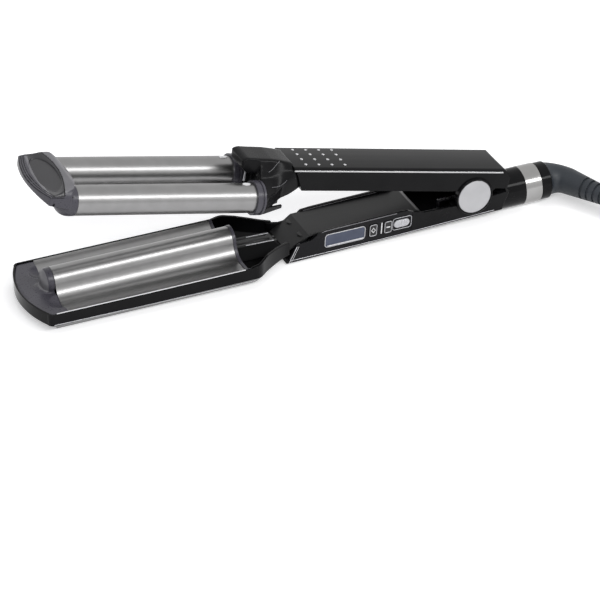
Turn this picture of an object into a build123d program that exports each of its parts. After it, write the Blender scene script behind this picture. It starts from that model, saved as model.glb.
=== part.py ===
from build123d import *
import os
from math import atan2, cos, degrees, hypot, pi, radians, sin, sqrt, tan

os.makedirs("parts", exist_ok=True)

# Hair waver with two arms on one hinge. Millimetres.
# Each arm is drawn closed in the arm frame: origin on the hinge axis, +X to the tail, +Y to the far side,
# +Z up. The lower arm is then pitched until its tray tip and its tail collar stand on the floor, and the
# upper arm opens.

# ---- driving dimensions --------------------------------------------------------------------------
OPEN_ANGLE = 12.68          # degrees between the arms when the spring holds them open
RUN_GAP = 0.3               # between pieces that move past each other
SEAT_GAP = 0.05             # between pieces of one arm that seat in each other
HAIR_GAP = 1.0              # between barrel and plate when closed

# barrels
BARREL_R = 9.0
BARREL_WALL = 1.0
BARREL_Y = 17.77            # barrel axis to mid plane
BARREL_Z = 2.44             # barrel axis above hinge axis
BARREL_FRONT = -269.0
YOKE_FRONT = -149.0         # face of the yoke that the barrels end at
BARREL_REAR = YOKE_FRONT - 0.05
SPIGOT_FRONT = -156.6       # the yoke's spigots reach this far into the barrels
SPIGOT_WALL = 3.0
COLLAR_R = 10.4
COLLAR_FRONT = -154.6
COLLAR_GROOVE_X = (-151.6, -150.4)
COLLAR_GROOVE = 0.7
CORE_FRONT = -262.0
CORE_REAR = -158.0
CORE_BORE_R = 3.2
HEATER_R = 3.1
RIVET_X = -159.5
RIVET_LONG = 2.6
RIVET_WIDE = 1.3
RIVET_PROUD = 0.4

# cool tip of the upper arm
CAP_R = 9.2
CAP_BALL_X = -272.0         # centre of the rounded barrel ends
PADDLE_HALF = 27.0
PADDLE_SIDE_X = -287.5
PADDLE_MID_X = -292.3
PADDLE_LIP_Z = 7.4
PADDLE_LIP = 2.6
PADDLE_TOP_X = -271.5
PADDLE_TOP_Z = 14.5
PADDLE_BACK_X = -267.3
PADDLE_EAR_X = -274.0        # where the rear edge reaches the sides
PADDLE_ROLL = 1.8           # rounding behind the crest
PADDLE_CREST_Y = 17.0
PADDLE_CORNER_Z = 7.9
PAD_RISE = 0.65             # the pad sits this far above the face's middle
DISH_DEPTH = 1.6
PAD_THICK = 0.8
PAD_MARGIN = 6.5            # paddle's side to the end of its oval
PAD_WIDE_HALF = 6.8

# tray of the lower arm
TIP_X = -291.5
TIP_CORNER_X = -284.5
TIP_CORNER_Y = 29.0
TRAY_HALF = 32.0
TRAY_SIDE_FRONT = -280.5
TRAY_RIM_Z = -3.9
TRAY_EDGE_Z = -11.5
TRAY_UNDER_Z = -17.0
TRAY_WALL = 1.8
RIM_WALL = 0.9              # thin edge round the plate
REBATE_Z = -6.7             # ledge inside the rim that carries plate and tip
TRAY_REAR = -153.0
WAIST_X = -124.0
WAIST_HALF = 14.6
SOLE_DEPTH = 0.12           # how deep the floor plane shaves the tray's front edge

# heating plate
PLATE_FRONT = -271.4
PLATE_REAR = -157.9
PLATE_SHEET = 1.2
VALLEY_FLAT = 5.2
VALLEY_EDGE_R = 11.5
END_FRAME_REAR = -155.9
END_FRAME_PROUD = 0.4
TIP_TOP_Z = -4.6
RIDGE_END = 4.5             # plate front to the centre of the ridge's round end

# lower handle
SIDE_LOW_Y = 13.1
SIDE_TOP_Y = 15.6
SIDE_LOW_Z = -19.2
SIDE_TOP_Z = 0.8
HANDLE_WALL = 1.7
SECTION_Z = (-24.0, 6.0)     # heights between which the handle's section is drawn
HANDLE_X = (-130.0, 30.0)    # length over which it is drawn
BELLY_FRONT = (-125.3, -18.6)
BELLY_REAR = (20.5, -15.3)
REAR_TOP = (24.5, -1.9)
COVER_Z = -1.2
COVER_THICK = 1.6
COVER_SKIN = 0.9            # what is left of the cover over the controls
COVER_FRONT_X = -111.0
COVER_END_X = -38.7
SCREW_PLACES = ((-113.0, 8.0), (-113.0, -8.0), (-45.0, 8.6))
SCREW_HEAD_R = 2.3
SCREW_R = 1.2
SCREW_PAD_R = 3.4
SCREW_PAD_HIGH = 3.4
SCREW_LONG = 7.0
BRIDGE_HALF = 5.4
BRIDGE_TOP_Z = -4.0
BRIDGE_FRONT = -155.2
BRIDGE_REAR = -126.0
BRIDGE_WALL = 1.5
BRIDGE_GROOVE_Y = 2.6
BRIDGE_GROOVE = 1.8
LEAD_R = 0.8
LEAD_Y = 2.0
LEAD_HIGH_Z = -7.5
LEAD_LOW_Z = -12.6
LEAD_DROP_X = -127.0
LEAD_END_X = -108.0

# side panel and its controls
PANEL_THICK = 1.5
PANEL_FRONT_X = -124.6
PANEL_END_X = -42.5
PANEL_LOW_Z = -17.6
WINDOW_X = (-100.0, -74.0)
WINDOW_Z = (-12.6, -3.7)
MODE_X = (-70.9, -65.6)
MINUS_X = (-61.0, -55.5)
KEY_Z = (-12.4, -3.4)
POWER_X = -49.0
POWER_Z = -7.5
POWER_LONG = 10.5
POWER_WIDE = 5.5
KEY_PROUD = 0.5
KEY_TRAVEL = 0.6
KEY_GAP = 0.25
KEY_FLANGE = 0.6
KEY_FLANGE_THICK = 0.8
KEY_STEM = 1.4
BOARD_DEPTH = 6.2           # panel face to board face
BOARD_THICK = 1.2
BOARD_LONG = 60.0
BOARD_WIDE = 9.6
BOARD_X = -72.0             # middle of the board
BOARD_ROOM = (4.0, 5.4)     # free room round the board, along it and across it
SWITCH_SIDE = 3.6
SWITCH_THICK = 1.8

# upper handle, drawn level and then sloped
HANDLE_SLOPE = 0.95
UPPER_HALF = 15.0
UPPER_WALL = 1.7
CROWN_Z = 18.3
SHOULDER_Y = 12.0
CROWN_BEND = 0.25           # how far the shoulder bulges
LID_RIM = 1.2
LID_RIM_DEEP = 1.6
LID_RIM_REAR = -20.0
SHOULDER_Z = 17.9
SPLIT_Z = 16.7
TRIM_HEIGHT = 0.9
TRIM_DEPTH = 0.9
TRIM_PROUD = 0.12
TRIM_REAR = 16.5
UPPER_FRONT = -128.0
UPPER_UNDER_Z = 3.2
STUD_R = 0.9
STUD_PROUD = 0.35
STUD_FRONT = UPPER_FRONT + 9.3
STUD_PITCH_X = 8.85
STUD_PITCH_Y = 6.5
STUD_ROWS = 4

# hinge
CHEEK_R = 12.0
CHEEK_IN_Y = 12.4
CHEEK_OUT_Y = 16.0
DISC_R = 11.06
DISC_FACE_Y = 16.28
DISC_THICK = 1.4
PIN_R = 2.5
PIN_FIT = 0.08
EAR_Y = (8.4, 11.9)
EAR_R = 7.4
SPRING_R = 4.3
SPRING_WIRE = 1.5
SPRING_TURNS = 7

# tail
TAIL_Z = -9.6
TAIL_R = 12.18
TAIL_BORE_R = 9.4
TAIL_COLLAR_X = (21.5, 38.5)
RING_END_X = 50.0
RING_R = 12.3
DOME_END_X = 57.0
DOME_R = 11.9
DOME_EDGE = 0.8
SHAFT_R = 6.0
SHAFT_END_X = 13.0
SHAFT_BORE_R = 2.6
REAR_WALL = 4.6
BOOT_BEND_R = 14.0
BOOT_TURN = 65.0
BOOT_START_R = 11.0
BOOT_KNEE_R = 8.4
BOOT_STRAIGHT = 42.0
BOOT_END_R = 4.7
BOOT_RIBS = 6
RIB_PITCH = 4.6
RIB_GAP = 1.5
RIB_DEPTH = 0.9

# mains cord, coil and plug
CORD_R = 3.5
COIL_R = 38.5               # middle of the turns
COIL_COLUMNS = 2
COIL_LAYERS = 5
COIL_AHEAD = 16.0           # straight run from the boot's end to where the cord starts to go round the coil
COIL_PASS = 0.5             # between the coil and the cord that goes round it
FLOOR_GAP = 0.1             # under the cord, so that it never reaches below the floor
PLUG_NOSE_LONG = 16.0
PLUG_LONG = 34.0
PLUG_WIDE = 34.0
PLUG_THICK = 16.0
PLUG_NOSE_R = 5.2
PIN_PITCH = 19.0
PLUG_PIN_R = 2.4
PLUG_PIN_LONG = 19.0

# ---- places worked out from the driving dimensions -----------------------------------------------
TIP_CHAMFER = TRAY_EDGE_Z - TRAY_UNDER_Z
CONTACT_TAIL = (TAIL_COLLAR_X[0], TAIL_Z - TAIL_R)
CONTACT_TIP = (TIP_X + TIP_CHAMFER, TRAY_UNDER_Z + SOLE_DEPTH)
PITCH = atan2(CONTACT_TIP[1] - CONTACT_TAIL[1], CONTACT_TAIL[0] - CONTACT_TIP[0])
HINGE_Z = -(sin(PITCH) * CONTACT_TAIL[0] + cos(PITCH) * CONTACT_TAIL[1])
REACH_TIP = TIP_X * cos(PITCH) - TRAY_RIM_Z * sin(PITCH)
REACH_TAIL = DOME_END_X * cos(PITCH) - (TAIL_Z - DOME_R + DOME_EDGE) * sin(PITCH)
CENTRE_X = -(REACH_TIP + REACH_TAIL) / 2
RIDGE_Y_TO_BARREL = hypot(BARREL_Y, BARREL_Z + 0.2)
VALLEY_R = BARREL_R + HAIR_GAP
RIDGE_R = RIDGE_Y_TO_BARREL - VALLEY_R
RIDGE_Z = -0.2
PANEL_LEAN = degrees(atan2(SIDE_TOP_Y - SIDE_LOW_Y, SIDE_TOP_Z - SIDE_LOW_Z))
BORE_R = BARREL_R - BARREL_WALL

FAR = 5 * TIP_CORNER_Y        # well beyond the part across and up
WHOLE = (2 * TIP_X, -TIP_X)   # well beyond the part along

nodes = {}


# ---- helpers -------------------------------------------------------------------------------------
def flat(points):
    """A flat face with straight edges through the points."""
    return make_face(Polyline(*points, close=True))


def prism_y(outline, y_low, y_high):
    """An outline of (x, z) pairs, from y_low to y_high."""
    face = flat([(x, y_low, z) for x, z in outline])
    return extrude(face, amount=y_high - y_low, dir=(0, 1, 0))


def prism_x(outline, x_low, x_high):
    """An outline of (y, z) pairs, from x_low to x_high."""
    face = flat([(x_low, y, z) for y, z in outline])
    return extrude(face, amount=x_high - x_low, dir=(1, 0, 0))


def block(x, y, z):
    """A box between two limits on each axis."""
    size = Box(x[1] - x[0], y[1] - y[0], z[1] - z[0])
    return Pos((x[0] + x[1]) / 2, (y[0] + y[1]) / 2, (z[0] + z[1]) / 2) * size


def rod_x(x_low, x_high, y, z, radius):
    """A cylinder along X."""
    length = x_high - x_low
    return Pos((x_low + x_high) / 2, y, z) * Rot(0, 90, 0) * Cylinder(radius, length)


def tube_x(x_low, x_high, y, z, outer, inner):
    """A tube along X."""
    return rod_x(x_low, x_high, y, z, outer) - rod_x(x_low, x_high, y, z, inner)


def rod_y(y_low, y_high, x, z, radius):
    """A cylinder along Y."""
    return Pos(x, (y_low + y_high) / 2, z) * Rot(90, 0, 0) * Cylinder(radius, y_high - y_low)


def upright(x, y, z_low, z_high, radius):
    """A cylinder along Z."""
    return Pos(x, y, (z_low + z_high) / 2) * Cylinder(radius, z_high - z_low)


def mirrored(shape):
    """The same shape on the other side of the mid plane."""
    return mirror(shape, about=Plane.XZ)


def place_lower(shape):
    """From the arm frame to the part's frame."""
    return Pos(CENTRE_X, 0, HINGE_Z) * Rot(0, -degrees(PITCH), 0) * shape


def place_upper(shape):
    """From the closed arm frame to the open position in the part's frame."""
    return Pos(CENTRE_X, 0, HINGE_Z) * Rot(0, OPEN_ANGLE - degrees(PITCH), 0) * shape


def slope(shape):
    """The upper handle falls gently towards the tail."""
    return Rot(0, HANDLE_SLOPE, 0) * shape


def keep(name, shape):
    nodes[name] = shape


# ---- lower arm: tray, waist and handle in one moulding -------------------------------------------
def tray_outline(inset, z, half=TRAY_HALF):
    """Plan of the tray, its round shoulders and its waist, pulled in by inset."""
    side = half - inset
    corner = TIP_CORNER_Y - inset
    tip = ThreePointArc(
        (TIP_CORNER_X + inset, -corner, z), (TIP_X + inset, 0, z), (TIP_CORNER_X + inset, corner, z)
    )
    shoulder = [
        (TRAY_REAR, side, z),
        (TRAY_REAR + 6.5, side - 3.2, z),
        (TRAY_REAR + 13.0, side - 8.3, z),
        (TRAY_REAR + 20.5, side - 13.2, z),
        (WAIST_X, WAIST_HALF - inset, z),
    ]
    edges = [tip]
    for sign in (1, -1):
        corner_end = (TRAY_SIDE_FRONT + inset * 0.4, sign * side, z)
        corner_mid = (TIP_CORNER_X + inset + 1.2, sign * (corner + 0.72 * (side - corner)), z)
        edges.append(ThreePointArc((TIP_CORNER_X + inset, sign * corner, z), corner_mid, corner_end))
        edges.append(Line(corner_end, (TRAY_REAR, sign * side, z)))
        curve = [(x, sign * y, height) for x, y, height in shoulder]
        edges.append(Spline(*curve, tangents=((1, 0, 0), (1, -sign * 0.35, 0))))
    edges.append(Line((WAIST_X, WAIST_HALF - inset, z), (WAIST_X, inset - WAIST_HALF, z)))
    return make_face(edges)


def side_y(z):
    """Half width of the lower handle's leaning side at height z."""
    return SIDE_LOW_Y + (z - SIDE_LOW_Z) * (SIDE_TOP_Y - SIDE_LOW_Y) / (SIDE_TOP_Z - SIDE_LOW_Z)


def leaning_section(inset, z_low, z_high):
    """The lower handle's section between two heights, with leaning sides."""
    return [
        (-side_y(z_low) + inset, z_low),
        (side_y(z_low) - inset, z_low),
        (side_y(z_high) - inset, z_high),
        (-side_y(z_high) + inset, z_high),
    ]


HANDLE_RIM = [
    (24.5, -1.9), (-3.0, -4.7), (-34.0, -3.6), (-40.0, -1.8), (-45.0, 0.7), (-50.6, 0.8), (-97.5, -0.1),
    (-104.0, -0.6), (-109.5, -4.9), (-117.0, -5.7), (-119.0, -6.2),
]


def handle_profile():
    """Side view of the lower handle's outer shape."""
    return [BELLY_FRONT, BELLY_REAR, REAR_TOP] + HANDLE_RIM[1:]


def fairing():
    """The skewed cone under the rear of the handle that swells out to the tail collar."""
    nose_x = -22.0
    nose_r = 4.0
    nose_z = -16.0 + nose_r
    nose = Plane(origin=(nose_x, 0, nose_z), z_dir=(1, 0, 0)) * Circle(nose_r)
    end = Plane(origin=(TAIL_COLLAR_X[0], 0, TAIL_Z), z_dir=(1, 0, 0)) * Circle(TAIL_R)
    cone = loft([nose, end])
    return cone & block((nose_x, TAIL_COLLAR_X[0]), (-20, 20), (-40, REAR_TOP[1] - 0.6))


def belly_z(x):
    """Height of the lower handle's underside at x."""
    run = (x - BELLY_FRONT[0]) / (BELLY_REAR[0] - BELLY_FRONT[0])
    return BELLY_FRONT[1] + run * (BELLY_REAR[1] - BELLY_FRONT[1])


def bottom_casing():
    hull = extrude(tray_outline(0, TRAY_EDGE_Z), amount=-TRAY_EDGE_Z, dir=(0, 0, 1))
    hull += loft([tray_outline(TIP_CHAMFER, TRAY_UNDER_Z), tray_outline(0, TRAY_EDGE_Z)], ruled=True)
    over_rim = [
        (TIP_X - 5, TRAY_RIM_Z), (-157, TRAY_RIM_Z), (-149, -2.2), (-143, -1.4), (-136, -1.8), (-128, -2.7),
        (WAIST_X + 1, -3.3), (WAIST_X + 1, 5), (TIP_X - 5, 5),
    ]
    hull -= prism_y(over_rim, -40, 40)
    cavity_deep = TRAY_UNDER_Z + TRAY_WALL
    inner_edge = tray_outline(TRAY_WALL, TRAY_EDGE_Z)
    inner_floor = tray_outline(TIP_CHAMFER + TRAY_WALL * 0.6, cavity_deep)
    inner = extrude(inner_edge, amount=FAR, dir=(0, 0, 1)) + loft([inner_floor, inner_edge], ruled=True)
    hull -= inner
    rebate = extrude(tray_outline(RIM_WALL, REBATE_Z), amount=FAR, dir=(0, 0, 1))
    hull -= rebate & block((TIP_X, END_FRAME_REAR + SEAT_GAP), (-FAR, FAR), (REBATE_Z, FAR))
    outer = prism_y(handle_profile(), -FAR, FAR) & prism_x(leaning_section(0, *SECTION_Z), *HANDLE_X)
    outer += fairing()
    body = hull + outer
    hollow = [
        (-122.0, belly_z(-122.0) + HANDLE_WALL),
        (TAIL_COLLAR_X[0] - REAR_WALL, belly_z(17.0) + HANDLE_WALL),
        (TAIL_COLLAR_X[0] - REAR_WALL, 5.0),
        (-129.0, 5.0),
        (-129.0, -9.0),
    ]
    body -= prism_y(hollow, -FAR, FAR) & prism_x(leaning_section(HANDLE_WALL, *SECTION_Z), *HANDLE_X)
    # open the handle's front to the root of the tray
    body -= block((-130, -119), (-9.0, 9.0), (-14.0, 5))
    # ears that carry the hinge pin
    for sign in (1, -1):
        y_low = min(sign * EAR_Y[0], sign * EAR_Y[1])
        y_high = max(sign * EAR_Y[0], sign * EAR_Y[1])
        ear = block((-13.6, 13.6), (y_low, y_high), (belly_z(0) + 0.4, -4.9))
        ear += rod_y(y_low, y_high, 0, 0, EAR_R)
        ear += block((-EAR_R, EAR_R), (y_low, y_high), (-6, 0))
        body += ear
        # round window that the upper arm's cheek turns in
        outer_side = rod_y(*sorted((sign * (EAR_Y[1] + 0.15), sign * 20)), 0, 0, CHEEK_R + RUN_GAP)
        body -= outer_side
    # seat for the tail collar and bearing for the swivel shaft
    body -= rod_x(TAIL_COLLAR_X[0], 40, 0, TAIL_Z, TAIL_R + SEAT_GAP)
    body -= rod_x(0, 40, 0, TAIL_Z, SHAFT_R + PIN_FIT)
    body -= rod_x(SHAFT_END_X - 1, TAIL_COLLAR_X[0] - REAR_WALL, 0, TAIL_Z, SHAFT_R + 2.0)
    body -= rod_y(-EAR_Y[1] - 1, EAR_Y[1] + 1, 0, 0, PIN_R + PIN_FIT)
    for x, y in SCREW_PLACES:
        low = belly_z(x)
        body += upright(x, y, low + 0.5, low + SCREW_PAD_HIGH, SCREW_PAD_R)
        body -= upright(x, y, low - 1, low + 1.6, SCREW_HEAD_R + SEAT_GAP)
        body -= upright(x, y, low, low + 12, SCREW_R + SEAT_GAP)
    # recess for the side panel
    body -= panel_blank(SEAT_GAP)
    body -= controls_window()
    return body


def panel_blank(grow):
    """The near side's glossy panel, before its openings. It fills the wall's outer layer."""
    outline = [
        (PANEL_FRONT_X - grow, PANEL_LOW_Z - grow),
        (PANEL_END_X + grow, PANEL_LOW_Z - grow),
        (PANEL_END_X + grow, 5),
        (PANEL_FRONT_X - 8, 5),
    ]
    depth = PANEL_THICK + grow
    low, high = SECTION_Z
    layer = [
        (-side_y(low) - 3 * grow, low), (-side_y(low) + depth, low),
        (-side_y(high) + depth, high), (-side_y(high) - 3 * grow, high),
    ]
    shape = prism_y(outline, -FAR, 0) & prism_x(layer, *HANDLE_X)
    return shape & prism_y(handle_profile(), -FAR, 0)


def controls_window():
    """Opening in the near wall behind the panel for display and keys."""
    return prism_y([(-103, -14.6), (-42.0, -14.0), (-42.0, -2.6), (-103, -2.6)], -20, -10)


def panel_plane():
    """Plane on the panel's face: x along the arm, z outwards, origin at height of the keys' centre line."""
    lean = radians(PANEL_LEAN)
    z = (KEY_Z[0] + KEY_Z[1]) / 2
    return Plane(origin=(0, -side_y(z), z), x_dir=(1, 0, 0), z_dir=(0, -cos(lean), -sin(lean)))


def on_panel(x, v, depth_low, depth_high, shape):
    """A sketch on the panel plane, raised between two depths, which are negative inside the panel."""
    plane = panel_plane()
    sketch = plane.offset(depth_low) * Pos(x, v) * shape
    return extrude(sketch, amount=depth_high - depth_low, dir=plane.z_dir)


def panel_v(z):
    """Distance along the panel's face from its centre line to height z."""
    return (z - (KEY_Z[0] + KEY_Z[1]) / 2) / cos(radians(PANEL_LEAN))


KEY_TALL = KEY_Z[1] - KEY_Z[0]
KEYS = {
    "mode_button": (sum(MODE_X) / 2, 0.0, MODE_X[1] - MODE_X[0], KEY_TALL, 0.7),
    "minus_button": (sum(MINUS_X) / 2, 0.0, MINUS_X[1] - MINUS_X[0], KEY_TALL, 0.7),
    "power_button": (POWER_X, panel_v(POWER_Z), POWER_LONG, POWER_WIDE, POWER_WIDE / 2 - 0.05),
}


def side_panel():
    body = panel_blank(0)
    window_w = WINDOW_X[1] - WINDOW_X[0]
    window_h = WINDOW_Z[1] - WINDOW_Z[0]
    opening = RectangleRounded(window_w, window_h, 1.2)
    body -= on_panel(sum(WINDOW_X) / 2, panel_v(sum(WINDOW_Z) / 2), -4, 2, opening)
    for x, v, wide, tall, corner in KEYS.values():
        hole = RectangleRounded(wide + 2 * KEY_GAP, tall + 2 * KEY_GAP, corner + KEY_GAP)
        body -= on_panel(x, v, -4, 2, hole)
    return body


def display():
    window_w = WINDOW_X[1] - WINDOW_X[0]
    window_h = WINDOW_Z[1] - WINDOW_Z[0]
    x = sum(WINDOW_X) / 2
    v = panel_v(sum(WINDOW_Z) / 2)
    lens_shape = RectangleRounded(window_w - 2 * SEAT_GAP, window_h - 2 * SEAT_GAP, 1.1)
    keep("display_lens", place_lower(on_panel(x, v, -PANEL_THICK, -0.1, lens_shape)))
    frame = RectangleRounded(window_w + 1.0, window_h - 0.4, 0.4)
    module = on_panel(x, v, -BOARD_DEPTH, -PANEL_THICK - 0.05, frame)
    keep("display_module", place_lower(module))


def board():
    back = -BOARD_DEPTH - BOARD_THICK
    plate = on_panel(BOARD_X, 0, back, -BOARD_DEPTH, Rectangle(BOARD_LONG, BOARD_WIDE))
    for x in (BOARD_X + 12.0, BOARD_X - 12.0):
        foot = on_panel(x, 0.8 - BOARD_WIDE / 2, back - 3.8, back, Rectangle(3, 1.6))
        plate += foot
    keep("control_board", place_lower(plate))
    switches = []
    for x, v, wide, tall, corner in KEYS.values():
        top = -BOARD_DEPTH + SWITCH_THICK
        switches.append(on_panel(x, v, -BOARD_DEPTH, top, Rectangle(SWITCH_SIDE, SWITCH_SIDE)))
    keep("tact_switches", place_lower(Compound(children=switches)))


def keys():
    for name, (x, v, wide, tall, corner) in KEYS.items():
        cap = on_panel(x, v, -PANEL_THICK - RUN_GAP, KEY_PROUD, RectangleRounded(wide, tall, corner))
        top = cap.faces().sort_by(Axis((0, 0, 0), tuple(panel_plane().z_dir)))[-1]
        cap = fillet(top.edges(), 0.3)
        flange_top = -PANEL_THICK - RUN_GAP
        flange_shape = RectangleRounded(min(wide, POWER_LONG - 3), tall + 2 * KEY_FLANGE, 0.6)
        flange = on_panel(x, v, flange_top - KEY_FLANGE_THICK, flange_top, flange_shape)
        stem_end = -BOARD_DEPTH + SWITCH_THICK + KEY_TRAVEL + 0.1
        stem = on_panel(x, v, stem_end, flange_top - KEY_FLANGE_THICK, Circle(KEY_STEM))
        keep(name, place_lower(cap + flange + stem))


# ---- lower arm: heating plate, tip and root ------------------------------------------------------
def plate_section(drop, x):
    """Open curve of the plate's surface, lowered by drop along its normal, as edges from -Y to +Y at x."""
    ridge = RIDGE_R - drop
    valley = VALLEY_R + drop
    lean = atan2(BARREL_Z - RIDGE_Z, BARREL_Y)
    meet_y = ridge * cos(lean)
    meet_z = RIDGE_Z + ridge * sin(lean)
    valley_z = BARREL_Z - valley
    mid_angle = (pi + lean + 1.5 * pi) / 2
    mid_y = BARREL_Y + valley * cos(mid_angle)
    mid_z = BARREL_Z + valley * sin(mid_angle)
    flat_y = BARREL_Y + VALLEY_FLAT
    edge_r = VALLEY_EDGE_R + drop
    edge_y = TRAY_HALF - TRAY_WALL + 0.9
    edge_z = valley_z + edge_r - sqrt(edge_r**2 - (edge_y - flat_y) ** 2)
    arc_y = (flat_y + edge_y) / 2
    arc_z = valley_z + edge_r - sqrt(edge_r**2 - (arc_y - flat_y) ** 2)
    half = [
        lambda s: Line((x, s * flat_y, valley_z), (x, s * BARREL_Y, valley_z)),
        lambda s: ThreePointArc((x, s * flat_y, valley_z), (x, s * arc_y, arc_z), (x, s * edge_y, edge_z)),
        lambda s: ThreePointArc((x, s * BARREL_Y, valley_z), (x, s * mid_y, mid_z), (x, s * meet_y, meet_z)),
    ]
    edges = [make(s) for s in (1, -1) for make in half]
    edges.append(ThreePointArc((x, -meet_y, meet_z), (x, 0, RIDGE_Z + ridge), (x, meet_y, meet_z)))
    return edges, (edge_y, edge_z)


def plate_sheet(x_low, x_high, over, under):
    """A sheet along X with the plate's section, from over above its surface to under below it."""
    top, (edge_y, top_z) = plate_section(-over, x_low)
    low, (edge_y, low_z) = plate_section(under, x_low)
    ends = [Line((x_low, s * edge_y, top_z), (x_low, s * edge_y, low_z)) for s in (1, -1)]
    face = make_face(top + low + ends)
    return extrude(face, amount=x_high - x_low, dir=(1, 0, 0))


def tray_well(x_low, x_high, z_low, z_high):
    """The room inside the tray's wall and, above the ledge, inside its thin rim."""
    footprint = tray_outline(TRAY_WALL + SEAT_GAP, TRAY_EDGE_Z)
    lower = extrude(footprint, amount=REBATE_Z - TRAY_EDGE_Z, dir=(0, 0, 1))
    upper = extrude(tray_outline(RIM_WALL + SEAT_GAP, REBATE_Z), amount=30, dir=(0, 0, 1))
    return (lower + upper) & block((x_low, x_high), (-FAR, FAR), (z_low, z_high))


def heating_plate():
    sheet = plate_sheet(PLATE_FRONT, PLATE_REAR, 0, PLATE_SHEET)
    keep("heating_plate", place_lower(sheet & tray_well(*WHOLE, TRAY_EDGE_Z, FAR)))
    frame = plate_sheet(PLATE_REAR + SEAT_GAP, END_FRAME_REAR, END_FRAME_PROUD, 2 * PLATE_SHEET)
    under = -PLATE_SHEET - SEAT_GAP
    frame += plate_sheet(PLATE_REAR - 2.0, PLATE_REAR + 2 * SEAT_GAP, under, 2 * PLATE_SHEET)
    keep("plate_end_frame", place_lower(frame & tray_well(*WHOLE, TRAY_EDGE_Z, FAR)))


def round_end(ball_x, rear_x, radius, y, z):
    """A rod along X with a ball end towards the tip."""
    half_turn = radius * sqrt(0.5)
    outline = make_face([
        Line((ball_x - radius, 0, 0), (rear_x, 0, 0)),
        Line((rear_x, 0, 0), (rear_x, radius, 0)),
        Line((rear_x, radius, 0), (ball_x, radius, 0)),
        ThreePointArc((ball_x, radius, 0), (ball_x - half_turn, half_turn, 0), (ball_x - radius, 0, 0)),
    ])
    return Pos(0, y, z) * revolve(outline, axis=Axis.X)


def lower_tip():
    end_x = PLATE_FRONT - SEAT_GAP
    body = tray_well(TIP_X, end_x, TRAY_EDGE_Z, TIP_TOP_Z)
    ridge_end = round_end(PLATE_FRONT - RIDGE_END, end_x, RIDGE_R, 0, RIDGE_Z)
    body += ridge_end & block((TIP_X, end_x), (-20, 20), (TIP_TOP_Z - 2, 20))
    for sign in (1, -1):
        body -= round_end(CAP_BALL_X, end_x + 5, VALLEY_R, sign * BARREL_Y, BARREL_Z)
    body -= Pos(PLATE_FRONT - 8.5, 0, RIDGE_Z + RIDGE_R) * Sphere(6.4)
    keep("lower_tip", place_lower(body))


def root_bridge():
    """Hollow cover over the wires between the plate and the handle, with ribs along it."""
    fall = 0.8
    profile = [
        (BRIDGE_FRONT, TRAY_UNDER_Z + TRAY_WALL + SEAT_GAP),
        (BRIDGE_REAR, TRAY_UNDER_Z + TRAY_WALL + SEAT_GAP),
        (BRIDGE_REAR, BRIDGE_TOP_Z - fall - 4.4),
        (BRIDGE_REAR - 4, BRIDGE_TOP_Z - fall),
        (BRIDGE_FRONT, BRIDGE_TOP_Z),
    ]
    body = prism_y(profile, -BRIDGE_HALF, BRIDGE_HALF)
    inner_half = BRIDGE_HALF - BRIDGE_WALL
    body -= block((BRIDGE_FRONT - 1, BRIDGE_REAR + 1), (-inner_half, inner_half), (-13.5, BRIDGE_TOP_Z - 2.0))
    for y in (-BRIDGE_GROOVE_Y, BRIDGE_GROOVE_Y):
        across = (y - BRIDGE_GROOVE / 2, y + BRIDGE_GROOVE / 2)
        body -= block((BRIDGE_FRONT + 2, BRIDGE_REAR - 6), across, (BRIDGE_TOP_Z - 1.6, FAR))
    keep("root_bridge", place_lower(body))


def plate_heating():
    """Aluminium spreader in the ridge, flat ceramic heater under it, clamp on the floor, thermal fuse."""
    x_low = PLATE_FRONT + 8
    x_high = PLATE_REAR - 6
    radius = RIDGE_R - PLATE_SHEET - SEAT_GAP
    flat_z = RIDGE_Z - 1.0
    spreader = rod_x(x_low, x_high, 0, RIDGE_Z, radius) & block((x_low, x_high), (-10, 10), (flat_z, 20))
    keep("heat_spreader", place_lower(spreader))
    heater_z = flat_z - 2.0
    heater = block((x_low + 6, x_high - 14), (-5.5, 5.5), (heater_z, flat_z))
    keep("plate_heater", place_lower(heater))
    fuse = rod_x(x_high - 12, x_high - 3, 0, flat_z - 1.5, 1.5)
    keep("thermal_fuse", place_lower(fuse))
    floor = TRAY_UNDER_Z + TRAY_WALL
    clamp = block((x_low + 10, x_high - 20), (-4.5, 4.5), (heater_z - 1.2, heater_z))
    for x in (x_low + 16, x_high - 30):
        clamp += block((x, x + 4), (-2, 2), (floor, heater_z))
        clamp += block((x - 3, x + 7), (-6, 6), (floor, floor + 1.2))
    keep("heater_clamp", place_lower(clamp))
    start_x = x_high - 14
    leads = []
    for y in (-LEAD_Y, LEAD_Y):
        across = (y - LEAD_R, y + LEAD_R)
        lead = block((start_x - 2 * LEAD_R, start_x), across, (LEAD_HIGH_Z - LEAD_R, heater_z))
        lead += rod_x(start_x - LEAD_R, LEAD_DROP_X, y, LEAD_HIGH_Z, LEAD_R)
        drop = (LEAD_LOW_Z - LEAD_R, LEAD_HIGH_Z + LEAD_R)
        lead += block((LEAD_DROP_X - 2 * LEAD_R, LEAD_DROP_X), across, drop)
        lead += rod_x(LEAD_DROP_X - LEAD_R, LEAD_END_X, y, LEAD_LOW_Z, LEAD_R)
        leads.append(lead)
    keep("heater_leads", place_lower(Compound(children=leads)))


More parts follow.
